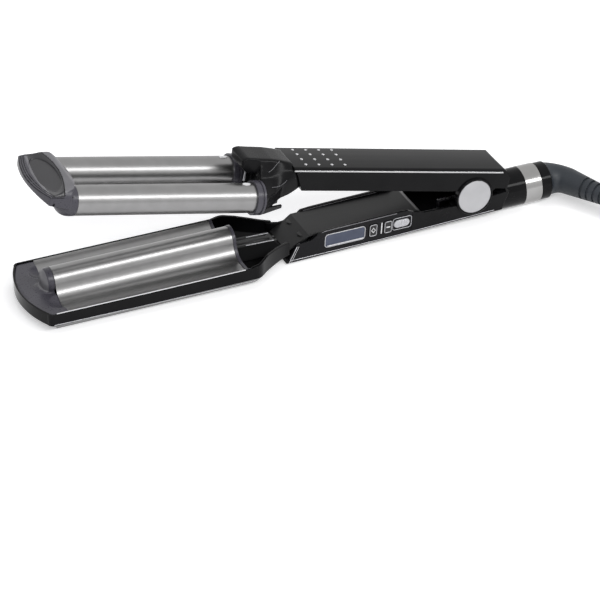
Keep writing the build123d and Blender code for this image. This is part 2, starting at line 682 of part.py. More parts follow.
def inner_cover():
    """The smooth lid of the lower handle, with its sloping front."""
    under = COVER_Z - COVER_THICK
    outline = [
        (COVER_END_X, COVER_Z), (COVER_FRONT_X, COVER_Z), (-117, -5.0), (-125.4, -9.4),
        (-125.4, -11.2), (-116.4, -6.6), (COVER_FRONT_X + 0.6, under), (COVER_END_X + 3, under),
    ]
    inset = HANDLE_WALL + SEAT_GAP
    section = leaning_section(inset, *SECTION_Z)
    lid = prism_y(outline, -20, 20) & prism_x(section, -128, 0)
    for x, y in SCREW_PLACES:
        foot = belly_z(x) + SCREW_PAD_HIGH + SEAT_GAP
        lid += upright(x, y, foot, under, SCREW_PAD_R - 0.6) - upright(x, y, foot, foot + 5, SCREW_R)
    keep("inner_cover", place_lower(lid - controls_keepout()))


def controls_keepout():
    """Room for the panel's inner layer, the display, keys and board."""
    room = Rectangle(BOARD_LONG + BOARD_ROOM[0], BOARD_WIDE + BOARD_ROOM[1])
    shape = on_panel(BOARD_X, 0, -BOARD_DEPTH - BOARD_THICK - RUN_GAP, 4, room)
    return shape & block((-FAR, 0), (-FAR, 0), (-FAR, COVER_Z - COVER_SKIN))


def casing_screws():
    """Screws up through the handle's belly into the lid's bosses."""
    screws = []
    for x, y in SCREW_PLACES:
        seat = belly_z(x) + 1.6
        head = upright(x, y, seat - 1.2, seat, SCREW_HEAD_R)
        head -= block((x - 1.4, x + 1.4), (y - 0.3, y + 0.3), (seat - 1.3, seat - 0.7))
        head -= block((x - 0.3, x + 0.3), (y - 1.4, y + 1.4), (seat - 1.3, seat - 0.7))
        screws.append(head + upright(x, y, seat, seat + SCREW_LONG - 1.6, SCREW_R - 0.02))
    keep("casing_screws", place_lower(Compound(children=screws)))


# ---- hinge and tail ------------------------------------------------------------------------------
def opening_spring():
    """Coil round the pin between the ears, with a leg on each arm's side."""
    half = SPRING_TURNS * SPRING_WIRE / 2
    outer = SPRING_R + SPRING_WIRE / 2
    bore = SPRING_R - SPRING_WIRE / 2
    body = rod_y(-half, half, 0, 0, outer)
    for turn in range(1, SPRING_TURNS):
        y = -half + turn * SPRING_WIRE
        body -= rod_y(y - 0.2, y + 0.2, 0, 0, outer + 1) - rod_y(y - 0.2, y + 0.2, 0, 0, SPRING_R + 0.3)
    floor = belly_z(-19) + HANDLE_WALL + 0.02
    body += block((-20, 0), (-half, -half + SPRING_WIRE), (-outer + 0.2, -outer + 0.2 + SPRING_WIRE))
    body += block((-20, -20 + SPRING_WIRE), (-half, -half + SPRING_WIRE), (floor, -outer + 0.2 + SPRING_WIRE))
    body += block((-24, 0), (half - SPRING_WIRE, half), (outer - SPRING_WIRE - 1.9, outer - 1.9))
    return body - rod_y(-half - 1, half + 1, 0, 0, bore)


def tail():
    web = 4.5
    collar = rod_x(*TAIL_COLLAR_X, 0, TAIL_Z, TAIL_R)
    collar -= rod_x(TAIL_COLLAR_X[0], TAIL_COLLAR_X[1] - web, 0, TAIL_Z, TAIL_BORE_R)
    collar -= rod_x(TAIL_COLLAR_X[0], TAIL_COLLAR_X[1], 0, TAIL_Z, SHAFT_R + PIN_FIT)
    keep("tail_collar", place_lower(collar))
    ring = rod_x(TAIL_COLLAR_X[1], RING_END_X, 0, TAIL_Z, RING_R)
    ring -= rod_x(TAIL_COLLAR_X[1], RING_END_X, 0, TAIL_Z, TAIL_BORE_R)
    ring = chamfer(ring.edges().filter_by(GeomType.CIRCLE).filter_by(lambda e: e.radius > RING_R - 0.1), 0.35)
    keep("silver_ring", place_lower(ring))
    contact_r = SHAFT_R + 0.9
    brush = tube_x(23.0, 30.0, 0, TAIL_Z, TAIL_BORE_R - 0.02, contact_r + RUN_GAP)
    brush = brush & block((23, 30), (-5, 5), (TAIL_Z, 20))
    keep("brush_block", place_lower(brush))
    rings = []
    for x in (24.0, 27.4):
        rings.append(rod_x(x, x + 1.8, 0, TAIL_Z, contact_r) - rod_x(x, x + 1.8, 0, TAIL_Z, SHAFT_R))
    keep("slip_rings", place_lower(Compound(children=rings)))
    head = rod_x(RING_END_X + RUN_GAP, DOME_END_X, 0, TAIL_Z, DOME_R)
    head = fillet(head.edges().group_by(Axis.X)[-1], DOME_EDGE)
    head += rod_x(SHAFT_END_X, RING_END_X + 1, 0, TAIL_Z, SHAFT_R)
    head -= rod_x(SHAFT_END_X - 1, DOME_END_X + 1, 0, TAIL_Z, SHAFT_BORE_R)
    head -= tube_x(SHAFT_END_X + 1.2, SHAFT_END_X + 2.4, 0, TAIL_Z, SHAFT_R + 1, SHAFT_R - 0.8)
    keep("swivel_head", place_lower(head))
    clip = rod_x(SHAFT_END_X + 1.25, SHAFT_END_X + 2.35, 0, TAIL_Z, SHAFT_R + 1.2)
    clip -= rod_x(SHAFT_END_X + 1, SHAFT_END_X + 3, 0, TAIL_Z, SHAFT_R - 0.75)
    clip -= block((SHAFT_END_X, SHAFT_END_X + 4), (-2, 2), (TAIL_Z, TAIL_Z + 12))
    keep("swivel_clip", place_lower(clip))


def boot_frame(distance):
    """Place and heading on the boot's centre line, at a distance along it, in the arm frame."""
    turn = radians(BOOT_TURN)
    arc = BOOT_BEND_R * turn
    if distance <= arc:
        a = distance / BOOT_BEND_R
        return (DOME_END_X + BOOT_BEND_R * sin(a), -BOOT_BEND_R + BOOT_BEND_R * cos(a)), (cos(a), -sin(a))
    rest = distance - arc
    x = DOME_END_X + BOOT_BEND_R * sin(turn) + rest * cos(turn)
    y = -BOOT_BEND_R + BOOT_BEND_R * cos(turn) - rest * sin(turn)
    return (x, y), (cos(turn), -sin(turn))


BOOT_ARC = BOOT_BEND_R * radians(BOOT_TURN)


def cord_boot():
    knee = 8
    sections = []
    for step in range(knee + 1):
        part = step / knee
        (x, y), (dx, dy) = boot_frame(part * BOOT_ARC)
        radius = BOOT_START_R + (BOOT_KNEE_R - BOOT_START_R) * sin(part * pi / 2)
        sections.append(Plane(origin=(x, y, TAIL_Z), z_dir=(dx, dy, 0)) * Circle(radius))
    elbow = loft(sections)
    (x, y), (dx, dy) = boot_frame(BOOT_ARC)
    ribs_from = BOOT_STRAIGHT - BOOT_RIBS * RIB_PITCH - 1.0
    taper = (BOOT_KNEE_R - BOOT_END_R) / BOOT_STRAIGHT
    outline = [(0, 0), (BOOT_KNEE_R, 0)]
    for rib in range(BOOT_RIBS):
        start = ribs_from + rib * RIB_PITCH
        high = BOOT_KNEE_R - taper * start
        end = start + RIB_GAP
        outline += [(high, start), (high - RIB_DEPTH, start), (high - RIB_DEPTH, end), (high - 0.1, end)]
    outline += [(BOOT_END_R, BOOT_STRAIGHT), (0, BOOT_STRAIGHT)]
    profile = flat([(r, 0, z) for r, z in outline])
    sleeve = revolve(profile, axis=Axis.Z)
    sleeve = Plane(origin=(x, y, TAIL_Z), x_dir=(-dy, dx, 0), z_dir=(dx, dy, 0)) * sleeve
    keep("cord_boot", place_lower(elbow + sleeve))


# ---- cord, coil and plug -------------------------------------------------------------------------
def lower_point(x, y, z):
    """A point of the arm frame in the part's frame."""
    return (CENTRE_X + x * cos(PITCH) - z * sin(PITCH), y, HINGE_Z + x * sin(PITCH) + z * cos(PITCH))


COIL_HALF = COIL_COLUMNS * CORD_R
COIL_HIGH = 2 * CORD_R * COIL_LAYERS
COIL_OUTER_R = COIL_R + COIL_HALF
COIL_INNER_R = COIL_R - COIL_HALF
PASS_R = COIL_OUTER_R + CORD_R + COIL_PASS
FLOOR_Z = CORD_R + FLOOR_GAP
PLUG_OFF = COIL_INNER_R - CORD_R          # plug's axis from the coil's centre
PLUG_Z = COIL_HIGH + 2 * FLOOR_GAP + PLUG_THICK / 2
NOSE_Z = COIL_HIGH + FLOOR_GAP + CORD_R


def cord_start():
    """Where the cord leaves the boot, and its heading there, in the part's frame."""
    (x, y), (dx, dy) = boot_frame(BOOT_ARC + BOOT_STRAIGHT)
    start = Vector(*lower_point(x, y, TAIL_Z))
    ahead = Vector(*lower_point(x + dx, y + dy, TAIL_Z))
    return start, ahead - start


def coil_centre():
    """Centre of the coil on the floor, to the left of the cord's heading."""
    start, heading = cord_start()
    left = Vector(-heading.Y, heading.X, 0).normalized()
    level = Vector(heading.X, heading.Y, 0).normalized()
    centre = start + level * COIL_AHEAD + left * PASS_R
    return centre.X, centre.Y


def round_coil(angle, radius, z):
    """A point round the coil's centre, at an angle in degrees from where the cord starts to go round it."""
    start, heading = cord_start()
    cx, cy = coil_centre()
    whole = atan2(-heading.X, heading.Y) + radians(angle)
    return (cx - radius * cos(whole + pi), cy - radius * sin(whole + pi), z)


def cord_points():
    """The cord's route from the boot, down round the coil's outside and in under its first turn."""
    start, heading = cord_start()
    corner = PASS_R / cos(radians(18))
    return [
        tuple(start),
        round_coil(18, corner, 12.0),
        round_coil(54, corner, 7.0),
        round_coil(90, corner - 1.0, FLOOR_Z),
        round_coil(126, corner - 5.0, FLOOR_Z),
        round_coil(162, COIL_R + CORD_R + 0.5, FLOOR_Z),
    ]


def corner_radii(points):
    radii = []
    for before, corner, after in zip(points, points[1:], points[2:]):
        first = Vector(*corner) - Vector(*before)
        second = Vector(*after) - Vector(*corner)
        turn = radians(first.get_angle(second))
        radii.append(0.45 * min(first.length, second.length) / tan(turn / 2))
    return radii


def cord_tube(radius):
    points = cord_points()
    path = FilletPolyline(*points, radius=corner_radii(points))
    start = Plane(origin=path @ 0, z_dir=path % 0)
    return sweep(start * Circle(radius), path=path), path.length


def cord():
    tube, length = cord_tube(CORD_R)
    section = pi * CORD_R**2
    print("cord radii", [round(r, 1) for r in corner_radii(cord_points())], "length", round(length, 1))
    print("cord volume over section times length", round(tube.volume / (section * length), 4))
    keep("cord", tube)


def cord_coil():
    """Outer shape of the coiled cord, with the end that rises to the plug lying on it."""
    cx, cy = coil_centre()
    middle = COIL_HIGH / 2 + FLOOR_GAP
    ring = Pos(cx, cy, middle) * Cylinder(COIL_OUTER_R, COIL_HIGH)
    ring -= Pos(cx, cy, middle) * Cylinder(COIL_INNER_R, COIL_HIGH)
    ring = chamfer(ring.edges().filter_by(GeomType.CIRCLE), CORD_R * 0.6)
    nose = Vector(cx + PLUG_OFF, cy, NOSE_Z)
    low = Vector(cx + PLUG_OFF - 1.5, cy - 24.0, NOSE_Z - 6.5)
    rise = Plane(origin=low, z_dir=nose - low) * Circle(CORD_R - SEAT_GAP)
    rising = extrude(rise, amount=(nose - low).length + CORD_R, dir=(nose - low).normalized())
    ring += rising & block((cx, cx + COIL_OUTER_R), (cy - COIL_R, cy), (0, FAR))
    tube, length = cord_tube(CORD_R + SEAT_GAP)
    keep("cord_coil", max((ring - tube).solids(), key=lambda solid: solid.volume))


def plug():
    cx, cy = coil_centre()
    x = cx + PLUG_OFF
    front = cy + PLUG_NOSE_LONG
    nose = Plane(origin=(x, cy, NOSE_Z), z_dir=(0, 1, 0)) * Circle(CORD_R + 0.8)
    neck = Plane(origin=(x, front, PLUG_Z), z_dir=(0, 1, 0)) * Circle(PLUG_NOSE_R)
    body = loft([nose, neck])
    end_y = front + PLUG_LONG
    across = (x - PLUG_WIDE / 2, x + PLUG_WIDE / 2)
    blank = block(across, (front, end_y), (PLUG_Z - PLUG_THICK / 2, PLUG_Z + PLUG_THICK / 2))
    blank = fillet(blank.edges().filter_by(Axis.Y), PLUG_THICK / 2 - 1.0)
    blank = chamfer(blank.edges().group_by(Axis.Y)[0], 2.5)
    keep("plug", body + blank)
    pins = []
    for side in (-1, 1):
        pin = rod_y(end_y, end_y + PLUG_PIN_LONG, x + side * PIN_PITCH / 2, PLUG_Z, PLUG_PIN_R)
        pins.append(fillet(pin.edges().group_by(Axis.Y)[-1], 0.8))
    keep("plug_pins", Compound(children=pins))


# ---- upper arm -----------------------------------------------------------------------------------
def rear_trim_shape():
    """What the upper handle keeps: a sloping rear in side view and a round one in plan."""
    side_view = [
        (UPPER_FRONT - 20, -15), (14.0, -15), (23.4, 3.0), (23.9, 6.0), (22.6, 12.5), (19.2, 17.2),
        (13.5, 20.2), (4.0, 22.5), (UPPER_FRONT - 20, 26),
    ]
    plan = make_face([
        Line((UPPER_FRONT - 20, -20, -20), (20.5, -20, -20)),
        ThreePointArc((20.5, -20, -20), (24.5, 0, -20), (20.5, 20, -20)),
        Line((20.5, 20, -20), (UPPER_FRONT - 20, 20, -20)),
        Line((UPPER_FRONT - 20, 20, -20), (UPPER_FRONT - 20, -20, -20)),
    ])
    return prism_y(side_view, -20, 20) & extrude(plan, amount=50, dir=(0, 0, 1))


def tail_clearance():
    """Room over the tail collar for the upper handle's rear when the arm is open, in the closed arm frame."""
    return Rot(0, -OPEN_ANGLE, 0) * rod_x(16, 60, 0, TAIL_Z, TAIL_R + 2 * RUN_GAP)


def crown_section():
    """Section of the upper handle above its split line."""
    x = UPPER_FRONT
    bend_y = (UPPER_HALF + SHOULDER_Y) / 2 + CROWN_BEND
    bend_z = (SPLIT_Z + SHOULDER_Z) / 2 + CROWN_BEND
    return [
        Line((x, -UPPER_HALF, SPLIT_Z), (x, UPPER_HALF, SPLIT_Z)),
        ThreePointArc((x, UPPER_HALF, SPLIT_Z), (x, bend_y, bend_z), (x, SHOULDER_Y, SHOULDER_Z)),
        ThreePointArc((x, SHOULDER_Y, SHOULDER_Z), (x, 0, CROWN_Z), (x, -SHOULDER_Y, SHOULDER_Z)),
        ThreePointArc((x, -SHOULDER_Y, SHOULDER_Z), (x, -bend_y, bend_z), (x, -UPPER_HALF, SPLIT_Z)),
    ]


def upper_shell_blank():
    """The crowned top shell with the rim that drops inside the lower one, drawn level."""
    lid = extrude(make_face(crown_section()), amount=30.0 - UPPER_FRONT, dir=(1, 0, 0))
    half = UPPER_HALF - UPPER_WALL - SEAT_GAP
    for sign in (1, -1):
        across = sorted((sign * half, sign * (half - LID_RIM)))
        lid += block((UPPER_FRONT, LID_RIM_REAR), across, (SPLIT_Z - LID_RIM_DEEP, SPLIT_Z + 0.2))
    return lid


def upper_shell():
    return slope(upper_shell_blank() & rear_trim_shape()) - studs(SEAT_GAP)


def studs(grow):
    """Grip studs in a square grid on the crown."""
    group = []
    for row in range(STUD_ROWS):
        for column in range(STUD_ROWS):
            x = STUD_FRONT + column * STUD_PITCH_X
            y = (row - (STUD_ROWS - 1) / 2) * STUD_PITCH_Y
            crown_drop = (CROWN_Z - SHOULDER_Z) * (y / SHOULDER_Y) ** 2
            top = CROWN_Z - crown_drop + STUD_PROUD
            stud = Pos(x, y, top - 0.9 - grow) * Cylinder(STUD_R + grow, 1.8)
            group.append(slope(stud))
    return group


def base_shell_blank():
    """The lower shell's floor and sides with the slanted front, drawn level."""
    sides = block((UPPER_FRONT, 30), (-UPPER_HALF, UPPER_HALF), (UPPER_UNDER_Z, SPLIT_Z))
    half = UPPER_HALF - UPPER_WALL
    sides -= block((UPPER_FRONT - 1, 15), (-half, half), (UPPER_UNDER_Z + UPPER_WALL, 30))
    front_cut = [
        (UPPER_FRONT - 5, 16.0), (UPPER_FRONT + 1.5, 16.0),
        (UPPER_FRONT + 8.6, UPPER_UNDER_Z - 2), (UPPER_FRONT - 5, UPPER_UNDER_Z - 2),
    ]
    return sides - prism_y(front_cut, -20, 20)


def base_shell():
    """Lower shell of the upper handle: floor, sides and the hinge's cheeks."""
    under = UPPER_UNDER_Z
    rear_cut = prism_y([(9, under - 3), (14, under + 2.1), (40, under + 2.5), (40, under - 3)], -FAR, FAR)
    shell = slope((base_shell_blank() & rear_trim_shape()) - rear_cut - trim_strips())
    hinge_room = block((-17, 16), (-CHEEK_IN_Y, CHEEK_IN_Y), (-20, 12))
    shell -= hinge_room
    for sign in (1, -1):
        cheek = rod_y(*sorted((sign * CHEEK_IN_Y, sign * CHEEK_OUT_Y)), 0, 0, CHEEK_R)
        recess = rod_y(*sorted((sign * (DISC_FACE_Y - DISC_THICK), sign * 20)), 0, 0, DISC_R + SEAT_GAP)
        shell += cheek
        shell -= recess
    shell -= rod_y(-20, 20, 0, 0, PIN_R + 0.02)
    return shell - tail_clearance()


def trim_strips():
    """Silver strips in the seam between the shells, both sides."""
    across = (UPPER_HALF - TRIM_DEPTH, UPPER_HALF + TRIM_PROUD)
    strip = block((UPPER_FRONT, TRIM_REAR), across, (SPLIT_Z - TRIM_HEIGHT, SPLIT_Z))
    return [strip, mirrored(strip)]


def yoke_section(x, points):
    """A closed section at x from the points of its +Y half, bottom to top."""
    whole = [(x, y, z) for y, z in points] + [(x, -y, z) for y, z in reversed(points)]
    return make_face(Polyline(*whole, close=True))


def yoke():
    """The fork that carries both barrels, with a humped spine over them."""
    tongue = [(9, 5.6), (13.0, 7), (13.2, 12), (12.2, 15.0), (8, 16.8)]
    lobe = [(8, -2), (14.2, 3), (15.0, 14), (13.6, 18.7), (9, 20.8)]
    neck = [(9, -4), (16, 1), (16.2, 11), (13, 17.4), (9, 22.2)]
    spread = [(14, -7.4), (20.6, -2), (21.4, 7), (13.5, 13.6), (9, 23.1)]
    fork = [(20, -8), (25.8, -2), (27.6, 7), (15, 12.8), (9, 23.4)]
    stations = [(-120, tongue), (-127, lobe), (-134, neck), (-141, spread), (-149, fork)]
    body = None
    for (x_a, a), (x_b, b) in zip(stations, stations[1:]):
        piece = loft([yoke_section(x_a, a), yoke_section(x_b, b)], ruled=True)
        body = piece if body is None else body + piece
    hood = [
        (YOKE_FRONT, 13.5), (YOKE_FRONT, 23.4), (-157.2, 23.9), (-160.2, 22.6), (-159.6, 17.2), (-156, 13.8),
    ]
    body += prism_y(hood, -9, 9)
    body += block((YOKE_FRONT - 3.5, YOKE_FRONT), (-1.6, 1.6), (4.6, 14.6))
    channel_half = BRIDGE_HALF + 1.2
    body -= block((-162, -117), (-channel_half, channel_half), (-20, BRIDGE_TOP_Z + 1.2))
    under = [(-130, -5), (-118, -5), (-118, 5.9), (-121.5, 5.9), (-125.5, -2.6), (-130, -4.6)]
    body -= prism_y(under, -FAR, FAR)
    for sign in (1, -1):
        y = sign * BARREL_Y
        spigot = rod_x(SPIGOT_FRONT, YOKE_FRONT + 0.5, y, BARREL_Z, BORE_R - SEAT_GAP)
        body += spigot - rod_x(SPIGOT_FRONT, YOKE_FRONT, y, BARREL_Z, BORE_R - SPIGOT_WALL)
        seat_x = BARREL_REAR + SEAT_GAP / 2
        body -= tube_x(COLLAR_FRONT, seat_x, y, BARREL_Z, COLLAR_R + SEAT_GAP, BORE_R - SEAT_GAP)
    body -= handle_envelope()
    return max(body.solids(), key=lambda solid: solid.volume)


def handle_envelope():
    """The upper handle's walls, for what fits in its front end."""
    wall = [upper_shell_blank(), base_shell_blank()]
    return [slope(piece) for piece in wall]


def yoke_brace():
    """Ribbed web under each prong of the yoke."""
    ribs = None
    for sign in (1, -1):
        for y in (9.0, 15.4):
            profile = [(-148.6, -9.6), (-143, -9.6), (-132, -5.6), (-132, -3.8), (-148.6, -7.2)]
            rib = prism_y(profile, sign * y - 0.8, sign * y + 0.8)
            ribs = rib if ribs is None else ribs + rib
        web = [(-148.6, -9.2), (-143, -9.2), (-136, -6.9), (-136, -6.0), (-143, -8.2), (-148.6, -8.2)]
        ribs += prism_y(web, *sorted((sign * 8.2, sign * 16.2)))
    return ribs - yoke()


def barrels():
    """Steel tubes with their collars at the rear, and an alloy core with its heater in each."""
    for side, sign in (("far", 1), ("near", -1)):
        y = sign * BARREL_Y
        tube = tube_x(BARREL_FRONT, BARREL_REAR, y, BARREL_Z, BARREL_R, BORE_R)
        keep("barrel_" + side, place_upper(tube))
        collar = tube_x(COLLAR_FRONT, BARREL_REAR, y, BARREL_Z, COLLAR_R, BARREL_R + SEAT_GAP / 2)
        collar -= tube_x(*COLLAR_GROOVE_X, y, BARREL_Z, COLLAR_R + 1, COLLAR_R - COLLAR_GROOVE)
        keep("barrel_collar_" + side, place_upper(collar))
        core = tube_x(CORE_FRONT, CORE_REAR, y, BARREL_Z, BORE_R - SEAT_GAP, CORE_BORE_R)
        keep("heat_core_" + side, place_upper(core))
        heater = rod_x(CORE_FRONT + 4, CORE_REAR + 5, y, BARREL_Z, HEATER_R)
        keep("barrel_heater_" + side, place_upper(heater))


def rivets():
    group = []
    for sign in (1, -1):
        foot = Pos(RIVET_X, sign * BARREL_Y, BARREL_Z + BARREL_R + RIVET_PROUD - 1.0)
        head = foot * extrude(Ellipse(RIVET_LONG, RIVET_WIDE), amount=1.0)
        head -= rod_x(RIVET_X - 5, RIVET_X + 5, sign * BARREL_Y, BARREL_Z, BARREL_R)
        group.append(head)
    return group


def cool_tip():
    """Cup over both barrel ends with the thumb paddle across it."""
    seam_x = BARREL_FRONT - SEAT_GAP
    barrel_top = BARREL_Z + BARREL_R + SEAT_GAP
    profile = [
        (PADDLE_BACK_X, PADDLE_TOP_Z - PADDLE_ROLL),
        (PADDLE_TOP_X + PADDLE_ROLL, PADDLE_TOP_Z - PADDLE_ROLL / 6),
        (PADDLE_TOP_X, PADDLE_TOP_Z),
        (PADDLE_MID_X, PADDLE_LIP_Z),
        (PADDLE_MID_X, PADDLE_LIP_Z - PADDLE_LIP),
        (PADDLE_TOP_X - 6, BARREL_Z - 1),
        (seam_x, BARREL_Z - 1),
        (seam_x, barrel_top),
        (PADDLE_BACK_X, barrel_top),
    ]
    low = BARREL_Z - BARREL_R
    front = (PADDLE_MID_X, 0, low)
    rear = (PADDLE_BACK_X, 0, low)
    plan = make_face([
        ThreePointArc((PADDLE_SIDE_X, -PADDLE_HALF, low), front, (PADDLE_SIDE_X, PADDLE_HALF, low)),
        Line((PADDLE_SIDE_X, PADDLE_HALF, low), (PADDLE_EAR_X, PADDLE_HALF, low)),
        Line((PADDLE_SIDE_X, -PADDLE_HALF, low), (PADDLE_EAR_X, -PADDLE_HALF, low)),
        ThreePointArc((PADDLE_EAR_X, PADDLE_HALF, low), rear, (PADDLE_EAR_X, -PADDLE_HALF, low)),
    ])
    body = prism_y(profile, -PADDLE_HALF, PADDLE_HALF) & extrude(plan, amount=FAR, dir=(0, 0, 1))
    body &= paddle_arch(low)
    for sign in (1, -1):
        y = sign * BARREL_Y
        body += round_end(CAP_BALL_X, seam_x, CAP_R, y, BARREL_Z)
        body += rod_x(seam_x - 1, CORE_FRONT - 0.4, y, BARREL_Z, BORE_R - SEAT_GAP)
    # arch over the end of the plate's ridge
    body -= round_end(PLATE_FRONT - RIDGE_END, PADDLE_BACK_X + 2, RIDGE_R + HAIR_GAP, 0, RIDGE_Z)
    return body


def paddle_arch(low):
    """What the paddle keeps seen from the front: a flat crest over both barrels with round ends."""
    x = PADDLE_MID_X
    crest = PADDLE_TOP_Z + 0.3
    bend_y = (PADDLE_HALF + PADDLE_CREST_Y) / 2 + 2.1
    bend_z = (PADDLE_CORNER_Z + crest) / 2 + 1.0
    arch = make_face([
        Line((x, -PADDLE_HALF, low), (x, PADDLE_HALF, low)),
        Line((x, PADDLE_HALF, low), (x, PADDLE_HALF, PADDLE_CORNER_Z)),
        ThreePointArc((x, PADDLE_HALF, PADDLE_CORNER_Z), (x, bend_y, bend_z), (x, PADDLE_CREST_Y, crest)),
        Line((x, PADDLE_CREST_Y, crest), (x, -PADDLE_CREST_Y, crest)),
        ThreePointArc((x, -PADDLE_CREST_Y, crest), (x, -bend_y, bend_z), (x, -PADDLE_HALF, PADDLE_CORNER_Z)),
        Line((x, -PADDLE_HALF, PADDLE_CORNER_Z), (x, -PADDLE_HALF, low)),
    ])
    return extrude(arch, amount=PADDLE_BACK_X - PADDLE_MID_X, dir=(1, 0, 0))


def paddle_plane():
    """Plane on the paddle's sloping face, z outwards."""
    run = PADDLE_TOP_X - PADDLE_MID_X
    rise = PADDLE_TOP_Z - PADDLE_LIP_Z
    length = hypot(run, rise)
    share = 0.5 + PAD_RISE / length
    middle = (PADDLE_MID_X + run * share, 0, PADDLE_LIP_Z + rise * share)
    return Plane(origin=middle, x_dir=(0, 1, 0), z_dir=(-rise / length, 0, run / length))


def thumb_pad(depth_low, depth_high, grow=0.0):
    """Oval in the paddle's face."""
    plane = paddle_plane()
    sketch = plane.offset(depth_low) * Ellipse(PADDLE_HALF - PAD_MARGIN + grow, PAD_WIDE_HALF + grow)
    return extrude(sketch, amount=depth_high - depth_low, dir=plane.z_dir)


def upper_arm():
    keep("upper_shell", place_upper(upper_shell()))
    keep("upper_base_shell", place_upper(base_shell()))
    for name, strip in zip(("trim_far", "trim_near"), trim_strips()):
        keep(name, place_upper(slope(strip)))
    keep("grip_studs", place_upper(Compound(children=studs(0))))
    keep("yoke", place_upper(yoke()))
    keep("yoke_brace", place_upper(yoke_brace()))
    barrels()
    keep("barrel_rivets", place_upper(Compound(children=rivets())))
    keep("cool_tip", place_upper(cool_tip() - thumb_pad(-DISH_DEPTH - PAD_THICK, 12)))
    keep("thumb_pad", place_upper(thumb_pad(-DISH_DEPTH - PAD_THICK, -DISH_DEPTH, -SEAT_GAP)))
    keep("hinge_pin", place_upper(rod_y(-DISC_FACE_Y + DISC_THICK, DISC_FACE_Y - DISC_THICK, 0, 0, PIN_R)))
    for side, sign in (("far", 1), ("near", -1)):
        disc = rod_y(*sorted((sign * (DISC_FACE_Y - DISC_THICK), sign * DISC_FACE_Y)), 0, 0, DISC_R)
        disc = chamfer(disc.edges().filter_by(GeomType.CIRCLE).group_by(Axis.Y)[-1 if sign > 0 else 0], 0.25)
        keep("pivot_cap_" + side, place_upper(disc))


def lower_arm():
    casing = place_lower(bottom_casing())
    casing -= block(WHOLE, (-FAR, FAR), (-FAR, 0))
    keep("bottom_casing", casing)
    keep("side_panel", place_lower(side_panel()))
    display()
    board()
    keys()
    heating_plate()
    lower_tip()
    root_bridge()
    plate_heating()
    inner_cover()
    casing_screws()
    keep("opening_spring", place_lower(opening_spring()))
    tail()


lower_arm()
cord_boot()
cord()
cord_coil()
plug()
upper_arm()
for name, shape in nodes.items():
    export_step(shape, f"parts/{name}.step")
print(len(nodes), "nodes; hinge height", round(HINGE_Z, 3), "pitch", round(degrees(PITCH), 3))
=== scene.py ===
import math

import bmesh
import bpy
import numpy as np
from mathutils import Matrix, Vector
from mathutils.bvhtree import BVHTree


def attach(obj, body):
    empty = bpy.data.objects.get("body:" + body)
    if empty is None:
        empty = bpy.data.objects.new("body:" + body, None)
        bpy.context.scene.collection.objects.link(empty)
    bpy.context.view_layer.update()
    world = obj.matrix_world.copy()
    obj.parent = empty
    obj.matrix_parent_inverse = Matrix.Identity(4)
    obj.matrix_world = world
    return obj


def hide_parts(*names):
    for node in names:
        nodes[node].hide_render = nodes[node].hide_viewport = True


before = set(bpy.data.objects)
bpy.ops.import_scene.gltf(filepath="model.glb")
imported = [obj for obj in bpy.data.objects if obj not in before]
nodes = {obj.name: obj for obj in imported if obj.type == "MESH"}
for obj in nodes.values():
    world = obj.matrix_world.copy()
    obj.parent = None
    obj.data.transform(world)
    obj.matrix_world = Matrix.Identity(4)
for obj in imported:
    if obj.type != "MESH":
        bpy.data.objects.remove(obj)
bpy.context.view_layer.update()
scene = bpy.context.scene
scene.view_settings.view_transform = "Standard"

# ---- the two arms' own frames, in millimetres: origin on the hinge, +X to the tail, +Z up ----------------
MM = 0.001
HINGE = Vector((0.11703914, 0.0, 0.02143468))
PITCH = 0.0159336
OPEN = math.radians(12.68) - PITCH
LOWER = Matrix.Translation(HINGE) @ Matrix.Rotation(-PITCH, 4, "Y") @ Matrix.Scale(MM, 4)
UPPER = Matrix.Translation(HINGE) @ Matrix.Rotation(OPEN, 4, "Y") @ Matrix.Scale(MM, 4)


# ---- camera ----------------------------------------------------------------------------------------------
CAMERA_PLACE = (-0.69074, -1.5219, 1.00529)
CAMERA_BACK = (-0.35406, -0.7718, 0.52812)      # from what it looks at towards the camera
CAMERA_RIGHT = (0.91255, -0.40871, 0.014543)
CAMERA_LENS = 192.0
SENSOR_WIDTH = 36.0
CLIP_END = 50.0
PICTURE = 600                                   # width and height of the picture, in its pixels


def make_camera():
    data = bpy.data.cameras.new("camera")
    data.sensor_fit = "HORIZONTAL"
    data.sensor_width = SENSOR_WIDTH
    data.lens = CAMERA_LENS
    data.clip_end = CLIP_END
    cam = bpy.data.objects.new("camera", data)
    scene.collection.objects.link(cam)
    back = Vector(CAMERA_BACK).normalized()
    right = Vector(CAMERA_RIGHT)
    right = (right - back * right.dot(back)).normalized()
    up = back.cross(right)
    turn = Matrix((right, up, back)).transposed().to_4x4()
    cam.matrix_world = Matrix.Translation(CAMERA_PLACE) @ turn
    scene.camera = cam


make_camera()


# ---- materials -------------------------------------------------------------------------------------------
NOISE_LOW, NOISE_HIGH = 0.3, 0.7        # where nearly all values of the noise lie
EVEN = (1, 1, 1)
LONG = (0.02, 1.0, 1.0)                 # grain stretched along the arm


def link(tree, output, socket):
    tree.links.new(output, socket)


def noise(tree, coords, scale, detail, rough, stretch, turn):
    """Noise from 0 to 1, stretched, and turned about Y."""
    mapping = tree.nodes.new("ShaderNodeMapping")
    mapping.inputs["Scale"].default_value = stretch
    mapping.inputs["Rotation"].default_value = (0, turn, 0)
    link(tree, coords, mapping.inputs["Vector"])
    node = tree.nodes.new("ShaderNodeTexNoise")
    node.inputs["Scale"].default_value = scale
    node.inputs["Detail"].default_value = detail
    node.inputs["Roughness"].default_value = rough
    link(tree, mapping.outputs["Vector"], node.inputs["Vector"])
    return node.outputs["Fac"]


